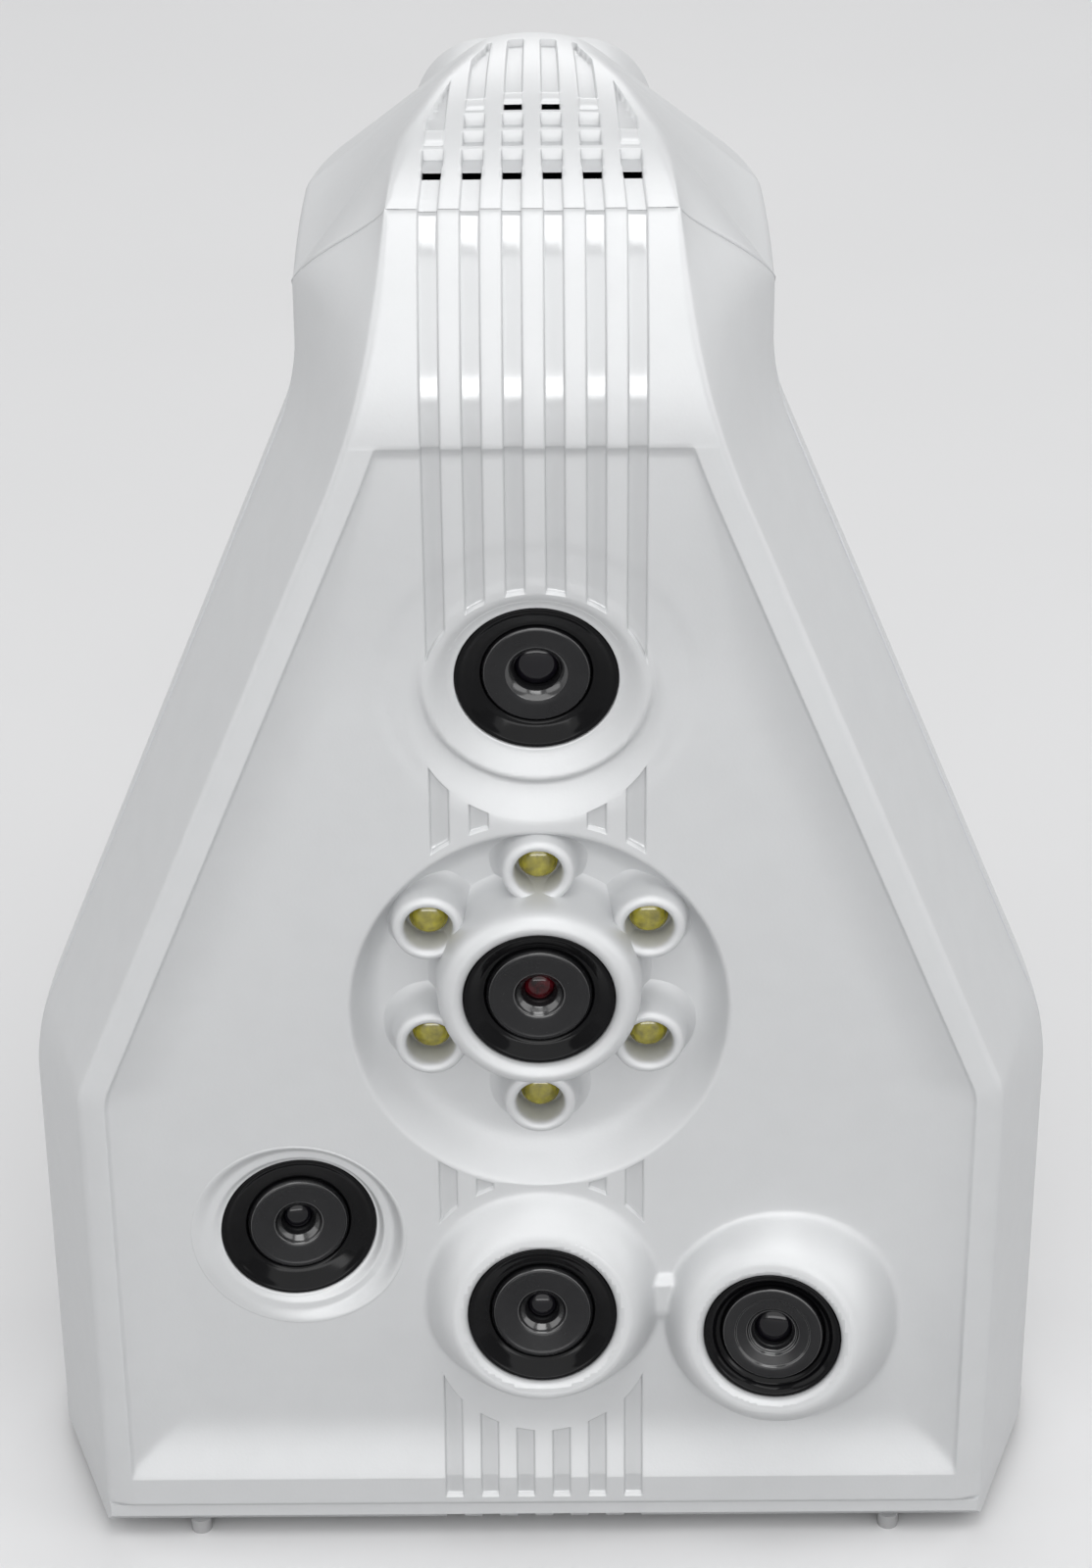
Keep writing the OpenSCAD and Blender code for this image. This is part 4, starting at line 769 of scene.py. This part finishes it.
# Degrees along the arch where the stretches of the vents end, the rows in each and the gap beside each bound
VENT_BOUNDS = [45, 51.5, 53.2, 57.5, 58.3, 61.9, 62.6, 66.5, 67.2, 69.0, 71.0, 72.5, 96.0]
VENT_COUNTS = [16, 4, 10, 4, 9, 4, 9, 4, 5, 6, 4, 44]
VENT_EDGE = 0.15
CROWN_ROWS, BEHIND = 12, -2
BACK_ROWS_U = [47.5, 49, 50.5, 52, 53.5, 55, 56.2, 56.8, 57.3, 57.65, 57.9, 58.0]
# Depths in the grooves: openings, slits, bars, floors and cells, and the nubs' rise
OPENING, SLIT, BAR, FLOOR = 3.2, 2.9, 0.04, 0.7
CELL_DEPTH, CELL_FALL, NUB_RISE, NUB_POWER = 0.9, 0.9, 0.95, 4
# The grooves widen from a bound on, for the outermost groove up to a nearer bound than for the others
WIDE_FROM, WIDE_ENDS = VENT_BOUNDS[2], [VENT_BOUNDS[8], VENT_BOUNDS[8], VENT_BOUNDS[4]]
WIDE_FADE, WIDE_SHARE, WIDE_REACH = 1.2, 0.13, 1.4
RIDGE_ANGLE = [45, 46, 51, 57, 64, 71, 79, 86, 92.5, 100, 109]
RIDGE_HALF = [16.2, 16.2, 15.7, 15.0, 13.9, 12.3, 10.6, 8.7, 7.2, 6.5, 6.2]
TAPER_ANGLE, TAPER = [45, 52, 73, 90, 96], [1.0, 0.965, 0.9, 0.83, 0.8]
RIDGE_MARGIN, PINCH, RIB_COLUMNS = 1.7, 0.02, 5
# Depth, start and length of the ridge's curve, the soft edge and the lip at the crease, by degrees
CURVE, CURVE_FROM, CURVE_FADE = 0.9, 50, 35
SOFT, SOFT_MORE, SOFT_FROM, SOFT_FADE, SOFT_MOST = 0.7, 2.0, 48, 20, 1.5
LIP, LIP_END, LIP_FADE = 0.1, 47.5, 2.5
# Flanks: share of the length for its bends, the lower bend, the chamfer at the foot and the turn inwards
BEND_SHARE, BEND, SIDE_SHARE = 0.3, 1.4, 0.4
CHAMFER, CHAMFER_FROM = 0.3, 0.6
HOOD_TURN = [(-0.25, 0, -0.05), (-2.0, 0, -0.1)]
N_EDGE, N_SLOPE, N_BEND, N_SIDE = 8, 12, 5, 5
BACK_ROUND, ROUND_OFF_W, ROUND_OFF_H = 1.6, 18, 24


def rear_inset(u):
    """How far the rear's round corner lies inside the side at the depth."""
    t = np.clip((u - SEAM_U) / (BACK_U - SEAM_U), 0, 1)
    return BACK_CORNER * (1 - np.sqrt(1 - t * t))


def front_seam_x(z):
    """Half width of the front skin where the hood's cut plane ends it, at the height."""
    theta = np.arcsin(np.clip((z - ARCH_Z) / ARCH_R, 0, 1))
    u_front = ARCH_R * (1 - np.cos(theta))
    share = (CUT_SUM - z - u_front) / (SEAM_U - u_front)
    return half_front(z) + (half_seam(z) - half_front(z)) * np.clip(share, 0, 1)


def vent_depth(column, theta, mark):
    """Depth of groove number column (0 at the centre) at the angle, by the stretch of the row."""
    def share(first, last):
        return np.clip((theta - VENT_BOUNDS[first]) / (VENT_BOUNDS[last] - VENT_BOUNDS[first]), 0, 1)

    def nub(first):
        """Rounded nub over two stretches, with the floor behind it."""
        if mark not in (first, first + 1):
            return FLOOR
        t = share(first, first + 2) * 2 - 1
        return FLOOR - NUB_RISE * (1 - t ** NUB_POWER) ** 0.5

    cell = CELL_DEPTH + CELL_FALL * share(mark, mark + 1)
    if mark < 4:
        return (FLOOR, OPENING, cell, BAR)[mark]
    if column == 2:
        return nub(4)
    if mark < 8:
        return (cell, BAR)[mark % 2]
    if column == 1:
        return nub(8)
    return SLIT if mark == 8 else nub(9)


def hood_rows():
    """Rows from the crease to the back: angle, stretch, and place and normal of the ridge line in u and z."""
    theta, mark = [], []
    for i, count in enumerate(VENT_COUNTS):
        a, b = VENT_BOUNDS[i] + VENT_EDGE, VENT_BOUNDS[i + 1] - VENT_EDGE
        theta += [VENT_BOUNDS[i], *np.linspace(a, b, count + 1)]
        mark += [ON_LINE] + [i] * (count + 1)
    last = math.degrees(math.acos(1 - SLOPE_U / ARCH_R))
    theta += np.linspace(VENT_BOUNDS[-1], last, CROWN_ROWS).tolist()
    angle, back = np.radians(theta), np.array(BACK_ROWS_U)
    arch = np.stack([ARCH_R * (1 - np.cos(angle)), ARCH_Z + ARCH_R * np.sin(angle)], -1)
    slope = np.stack([back, arch[-1, 1] - HOOD_FALL * (back - SLOPE_U)], -1)
    fall = np.array([HOOD_FALL, 1.0]) / math.hypot(1, HOOD_FALL)
    normal = np.concatenate([np.stack([-np.cos(angle), np.sin(angle)], -1), np.tile(fall, (len(back), 1))])
    theta = np.array(theta + [last] * len(back))
    mark = np.array(mark + [BEHIND] * (CROWN_ROWS + len(back)))
    return theta, mark, np.concatenate([arch, slope]), normal


def hood_columns(theta, mark, ridge):
    """x and groove depth in each row of the columns over the grooves."""
    n = len(theta)
    column = np.clip((HALF_X / GROOVE_PITCH).astype(int), 0, GROOVES - 1)
    centre = GROOVE_PITCH * (column + 0.5)
    depth = np.zeros((n, GROOVES))
    for i in np.where(mark >= 0)[0]:
        depth[i] = [vent_depth(k, theta[i], mark[i]) for k in range(GROOVES)]
    for i in np.where(mark == ON_LINE)[0]:
        depth[i] = np.minimum(depth[i - 1], depth[i + 1]) if i else depth[1]
    wide = np.stack([np.where((theta > WIDE_FROM) & (theta < end), ease((theta - WIDE_FROM) / WIDE_FADE), 0)
                     for end in WIDE_ENDS], 1)
    near = np.abs(HALF_X - centre) < WIDE_REACH
    taper = np.interp(theta, TAPER_ANGLE, TAPER)[:, None]
    x = taper * (centre + (HALF_X - centre) * (1 + WIDE_SHARE * wide[:, column] * near))
    limit = ridge[:, None] - RIDGE_MARGIN
    clipped = x > limit - PINCH
    x = np.where(clipped, limit + PINCH * (x - limit), x)
    return x, np.where(clipped, 0, HALF_SHARE * depth[:, column])


def hood_flank(start, edge, soft):
    """Columns from the ridge's edge down the flank and the side to the hood's lower edge."""
    u = edge[:, 1]
    cut = np.maximum(HOOD_FLOOR_Z, CUT_SUM - u)
    seam = np.stack([front_seam_x(cut), u, cut], -1)
    shoulder_z = SHOULDER_Z + SHOULDER_RISE * (np.minimum(u, SHOULDER_PEAK_U) - SEAM_U)
    shoulder = np.stack([NECK_W / 2 - rear_inset(u), u, np.maximum(shoulder_z, cut)], -1)
    foot = np.where((u < SEAM_U)[:, None], seam, shoulder)
    length = np.linalg.norm(foot - edge, axis=1, keepdims=True)
    along = (foot - edge) / np.maximum(length, TINY)
    side = np.maximum(0, foot[:, 2] - cut)[:, None]
    bend = np.minimum(BEND, np.minimum(length * BEND_SHARE, side * SIDE_SHARE))
    end, stop = edge + along * np.minimum(soft[:, None], length * BEND_SHARE), foot - along * bend
    low = foot + np.array([0, 0, -1.0]) * bend
    bottom = np.stack([foot[:, 0], foot[:, 1], cut], -1)
    rest = bottom + np.array([0, 0, CHAMFER]) * (side > CHAMFER_FROM)
    curves = [bezier(start, edge, end, t) for t in steps(N_EDGE)]
    curves += [end + (stop - end) * t for t in steps(N_SLOPE)]
    curves += [bezier(stop, foot, low, t) for t in steps(N_BEND)]
    curves += [low + (rest - low) * t for t in steps(N_SIDE)]
    curves += [bottom + np.array(turn) for turn in HOOD_TURN]
    return np.stack(curves, 1)


def hood_skin():
    theta, mark, path, normal = hood_rows()
    ridge = np.interp(theta, RIDGE_ANGLE, RIDGE_HALF)
    curve = CURVE * ease((theta - CURVE_FROM) / CURVE_FADE)
    soft = SOFT + SOFT_MORE * ease((theta - SOFT_FROM) / SOFT_FADE)
    x, groove = hood_columns(theta, mark, ridge)
    inner = ridge - np.minimum(soft, SOFT_MOST)
    rib = [x[:, -1] + (inner - x[:, -1]) * t for t in steps(RIB_COLUMNS)]
    x = np.concatenate([x, np.stack(rib, 1)], 1)
    groove = np.pad(groove, ((0, 0), (0, RIB_COLUMNS)))
    lip = LIP * ease((LIP_END - theta) / LIP_FADE)[:, None]
    sink = groove + curve[:, None] * (x / ridge[:, None]) ** 2 + lip
    surface = np.concatenate([x[..., None], path[:, None] - sink[..., None] * normal[:, None]], -1)
    edge = np.column_stack([ridge, path - curve[:, None] * normal])
    half = np.concatenate([surface, hood_flank(surface[:, -1], edge, soft)], 1)
    over = np.maximum(0, path[:, 0] - (BACK_U - BACK_ROUND))
    round_off = BACK_ROUND - np.sqrt(np.maximum(0, BACK_ROUND ** 2 - over ** 2))
    half[..., 0] *= (1 - round_off / ROUND_OFF_W)[:, None]
    half[..., 2] = HOOD_FLOOR_Z + (half[..., 2] - HOOD_FLOOR_Z) * (1 - round_off / ROUND_OFF_H)[:, None]
    grid = np.concatenate([half[:, :0:-1] * np.array([-1, 1, 1]), half], 1)
    rows_n, cols_n = grid.shape[:2]
    through = cell_corners(both_sides(groove, cols_n)).max(axis=0) > SLIT * FLOOR_SHARE
    inside = both_sides(HALF_SHARE, cols_n) > FLOOR_SHARE
    faces = grid_faces(rows_n, cols_n, ~(through & inside[:-1] & inside[1:]))
    faces.append(list(range((rows_n - 1) * cols_n, rows_n * cols_n)))
    return make_object("hood_skin", grid.reshape(-1, 3), faces, casing_mat)


hood = hood_skin()
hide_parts("top_hood")

# Rear skin: rounded back with the casing screws' wells, and the strips in the seam

POST_INSET, POST_LOW, POST_HIGH, NECK_INSET, NECK_DROP = 15, 10, 8, 9.5, 6.8
POST_X = BODY_W / 2 - POST_INSET
RIGHT_WELLS = [(POST_X, BASE_TOP + POST_LOW), (POST_X, SIDE_CORNER_Z + POST_HIGH),
               (NECK_W / 2 - NECK_INSET, ARCH_Z - NECK_DROP)]
WELLS = [(s * x, z) for s in (-1, 1) for x, z in RIGHT_WELLS]
WELL_R, WELL_FLOOR_U, WELL_SINK, WELL_SEGMENTS = 3.0, 31.8, 2, 48
WELL_SNAP, WELL_SLACK = 0.55, 0.05
REAR_ROWS, REAR_EDGE, CORNER_COLUMNS, FLAT_COLUMNS = 150, 0.0022, 34, 40
# The rear's edge at the seam: its turn inwards and rounding, and the rounding of the first and last rows
REAR_TURN, REAR_LIP, REAR_ROUND, ROW_INSET = 1.5, 0.35, 0.25, 0.2
STRIP_W, STRIP_ROWS, STRIP_START = 1.2, 90, 0.2
# Section of a seam strip: offset from the seam's half width and way behind the seam
STRIP = [(-1.4, 0.0), (-0.3, 0.02), (-0.2, 0.3), (-0.2, 0.9), (-0.3, 1.18), (-1.4, STRIP_W)]


def rear_u(x, z):
    """Depth of the back at a place: flat in the middle, an ellipse towards the sides."""
    over = np.clip((half_side(z) - np.abs(x)) / BACK_CORNER, 0, 1)
    return SEAM_U + (BACK_U - SEAM_U) * np.sqrt(1 - (1 - over) ** 2)


def rear_half():
    """Columns of the right half, from the seam to the middle of the back."""
    rows = np.concatenate([[0], np.linspace(REAR_EDGE, 1 - REAR_EDGE, REAR_ROWS), [1]])
    cols = []
    for a in np.linspace(math.asin(STRIP_W / (BACK_U - SEAM_U)), math.pi / 2, CORNER_COLUMNS):
        u = SEAM_U + (BACK_U - SEAM_U) * math.sin(a)
        z = BASE_TOP + (max(HOOD_FLOOR_Z, CUT_SUM - u) - BASE_TOP) * rows
        x = half_seam(z) - BACK_CORNER * (1 - math.cos(a))
        cols.append(np.stack([x, np.full_like(z, u), z], -1))
    z = cols[-1][:, 2]
    flat = half_seam(z) - BACK_CORNER
    for t in np.linspace(1, 0, FLAT_COLUMNS)[1:]:
        cols.append(np.stack([flat * t, np.full_like(z, BACK_U), z], -1))
    first = cols[0] - np.array([REAR_LIP, 0, 0])
    cols[0] = cols[0] + np.array([0, REAR_ROUND, 0])
    half = np.stack([first - np.array([REAR_TURN, 0, 0]), first] + cols, 1)
    for row in (0, -1):
        half[row, 2:, :2] -= (ROW_INSET, REAR_ROUND)
    return half


def rear_skin():
    half = rear_half()
    for px, pz in RIGHT_WELLS:
        dx, dz = half[..., 0] - px, half[..., 2] - pz
        r = np.hypot(dx, dz)
        snap = (np.abs(r - WELL_R) < WELL_SNAP) & (half[..., 1] > WELL_FLOOR_U)
        half[..., 0] = np.where(snap, px + dx / r * WELL_R, half[..., 0])
        half[..., 2] = np.where(snap, pz + dz / r * WELL_R, half[..., 2])
        half[..., 1] = np.where(snap, rear_u(half[..., 0], half[..., 2]), half[..., 1])
    left = half[:, :-1] * np.array([-1, 1, 1])
    grid = np.concatenate([half, left[:, ::-1]], 1)
    centre = cell_corners(grid).sum(axis=0) / 4
    behind = centre[..., 1] > WELL_FLOOR_U
    keep = np.ones(centre.shape[:2], bool)
    for px, pz in WELLS:
        keep &= ~((np.hypot(centre[..., 0] - px, centre[..., 2] - pz) < WELL_R - WELL_SLACK) & behind)
    build = Build()
    build.add(grid, grid_faces(*grid.shape[:2], keep))
    angle = round_angles(WELL_SEGMENTS)
    for px, pz in WELLS:
        wx, wz = px + WELL_R * np.cos(angle), pz + WELL_R * np.sin(angle)
        mouth = np.stack([wx, rear_u(wx, wz), wz], -1)
        floor = np.stack([wx, np.full_like(wx, WELL_FLOOR_U - WELL_SINK), wz], -1)
        build.add(np.concatenate([mouth, floor]), ring_faces(2, WELL_SEGMENTS))
    return make_object("rear_skin", build.verts, build.faces, casing_mat)


def seam_strip(side_name, sign):
    z = np.linspace(BASE_TOP + STRIP_START, CUT_SUM - SEAM_U - STRIP_W, STRIP_ROWS)
    w = half_seam(z)
    strip = np.stack([np.stack([sign * (w + d), np.full_like(z, SEAM_U + u), z], -1) for d, u in STRIP], 1)
    order = strip if sign > 0 else strip[:, ::-1]
    faces = grid_faces(STRIP_ROWS, len(STRIP))
    return make_object(f"seam_strip_{side_name}", order.reshape(-1, 3), faces, gasket_mat)


rear = rear_skin()
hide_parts("rear_shell")
for side_name, sign in (("left", -1), ("right", 1)):
    gasket = seam_strip(side_name, sign)
    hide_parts(f"seam_gasket_{side_name}")

# Soft edges on the solids that stay as they are
EDGE_WIDTHS = {"base_plate": 0.5, "tail_shell": 0.7, "handle_rear_shell": 0.3, "handle_front_cover": 0.3,
               "scan_rocker": 0.3, "feet": 0.3}
EDGE_SEGMENTS, EDGE_ANGLE = 3, math.radians(38)
for name, width in EDGE_WIDTHS.items():
    bevel = frame["nodes"][name].modifiers.new("edge", "BEVEL")
    bevel.width, bevel.segments = width / 1000, EDGE_SEGMENTS
    bevel.limit_method, bevel.angle_limit = "ANGLE", EDGE_ANGLE

# Camera at the photograph's place, in millimetres and degrees
CAM_POS = (1.97, -452.87, 332.63)
PITCH, ROLL, YAW = math.radians(29.28), math.radians(0.48), math.radians(-0.14)
CAM_LENS, CAM_SENSOR = 87.75, 36.0
CLIP_M = (0.02, 20.0)


def place_camera():
    fwd = Vector((math.sin(YAW) * math.cos(PITCH), math.cos(YAW) * math.cos(PITCH), -math.sin(PITCH)))
    side = Vector((math.cos(YAW), -math.sin(YAW), 0))
    up = side.cross(fwd)
    cam_x = side * math.cos(ROLL) - up * math.sin(ROLL)
    cam_y = up * math.cos(ROLL) + side * math.sin(ROLL)
    cam = add_object("camera", bpy.data.cameras.new("camera"))
    cam.data.lens, cam.data.sensor_width = CAM_LENS, CAM_SENSOR
    cam.data.clip_start, cam.data.clip_end = CLIP_M
    rotation = Matrix((cam_x, cam_y, -fwd)).transposed().to_4x4()
    cam.matrix_world = Matrix.Translation(Vector(CAM_POS) / 1000) @ rotation
    bpy.context.scene.camera = cam


place_camera()

# Floor, light and view, in metres and watts
FLOOR_R, FLOOR_POINTS = 1.25, 128
FLOOR_DIM = (0.28, 0.28, 0.283, 1)
FILL_COLOR, FILL_STRENGTH = (0.9, 0.92, 0.95, 1), 0.08
BACKDROP_COLOR = (0.68, 0.68, 0.685, 1)
# Lamps: name, place, target, size and power
LAMPS = [
    ("key", (0.06, -0.41, 1.13), (0, -0.03, 0.1), (0.7, 0.5), 4.2),
    ("front", (0.0, -1.1, 0.62), (0, -0.05, 0.15), (1.4, 1.2), 8.4),
    ("low_front", (0.0, -1.1, 0.16), (0, -0.05, 0.12), (0.9, 0.14), 1.6),
    ("side_right", (0.95, -0.1, 0.6), (0, -0.03, 0.1), (1.3, 1.0), 6.8),
    ("side_left", (-0.95, -0.1, 0.6), (0, -0.03, 0.1), (1.3, 1.0), 5.8),
    ("back", (0.0, 1.0, 0.8), (0, 0.05, 0.1), (0.8, 0.5), 4.6)]


def seen_rays(tree):
    """One for the rays that show the background: from the camera, off gloss or through glass."""
    path = tree.nodes.new("ShaderNodeLightPath")
    out = path.outputs["Is Camera Ray"]
    for ray in ("Is Glossy Ray", "Is Transmission Ray"):
        node = tree.nodes.new("ShaderNodeMath")
        node.operation = "MAXIMUM"
        tree.links.new(out, node.inputs[0])
        tree.links.new(path.outputs[ray], node.inputs[1])
        out = node.outputs["Value"]
    return out


def split_shader(tree, output, hidden, shown):
    """Shader that shows one face to the background rays and another to the light that bounces."""
    mix = tree.nodes.new("ShaderNodeMixShader")
    tree.links.new(seen_rays(tree), mix.inputs["Fac"])
    tree.links.new(hidden, mix.inputs[1])
    tree.links.new(shown, mix.inputs[2])
    tree.links.new(mix.outputs["Shader"], tree.nodes[output].inputs["Surface"])


def floor_disc():
    """Pale disc that looks brighter than the light it throws back."""
    mesh = bpy.data.meshes.new("floor")
    rim = [(FLOOR_R * math.cos(a), FLOOR_R * math.sin(a), 0) for a in round_angles(FLOOR_POINTS)]
    mesh.from_pydata(rim, [], [range(FLOOR_POINTS)])
    obj = add_object("floor", mesh)
    mat = finish_material("floor_pale", (0.7, 0.7, 0.705), (0.72, 0.72, 0.725), (0.6, 0.75), spread=6.0)
    tree = mat.node_tree
    dim = tree.nodes.new("ShaderNodeBsdfDiffuse")
    dim.inputs["Color"].default_value = FLOOR_DIM
    split_shader(tree, "Material Output", dim.outputs["BSDF"], tree.nodes["Principled BSDF"].outputs["BSDF"])
    mesh.materials.append(mat)
    return obj


def area_light(name, place, target, size, power):
    data = bpy.data.lights.new(name, "AREA")
    data.shape = "RECTANGLE"
    data.size, data.size_y = size
    data.energy = power
    obj = add_object(name, data)
    obj.location = place
    obj.rotation_mode = "QUATERNION"
    obj.rotation_quaternion = (Vector(target) - Vector(place)).to_track_quat("-Z", "Y")


def light_world():
    """Faint fill from all round, behind a plain pale backdrop."""
    world = bpy.data.worlds.new("world")
    bpy.context.scene.world = world
    world.use_nodes = True
    tree = world.node_tree
    fill = tree.nodes["Background"]
    fill.inputs["Color"].default_value = FILL_COLOR
    fill.inputs["Strength"].default_value = FILL_STRENGTH
    backdrop = tree.nodes.new("ShaderNodeBackground")
    backdrop.inputs["Color"].default_value = BACKDROP_COLOR
    split_shader(tree, "World Output", fill.outputs["Background"], backdrop.outputs["Background"])


floor = floor_disc()
for lamp in LAMPS:
    area_light(*lamp)
light_world()
bpy.context.scene.view_settings.view_transform = "Standard"
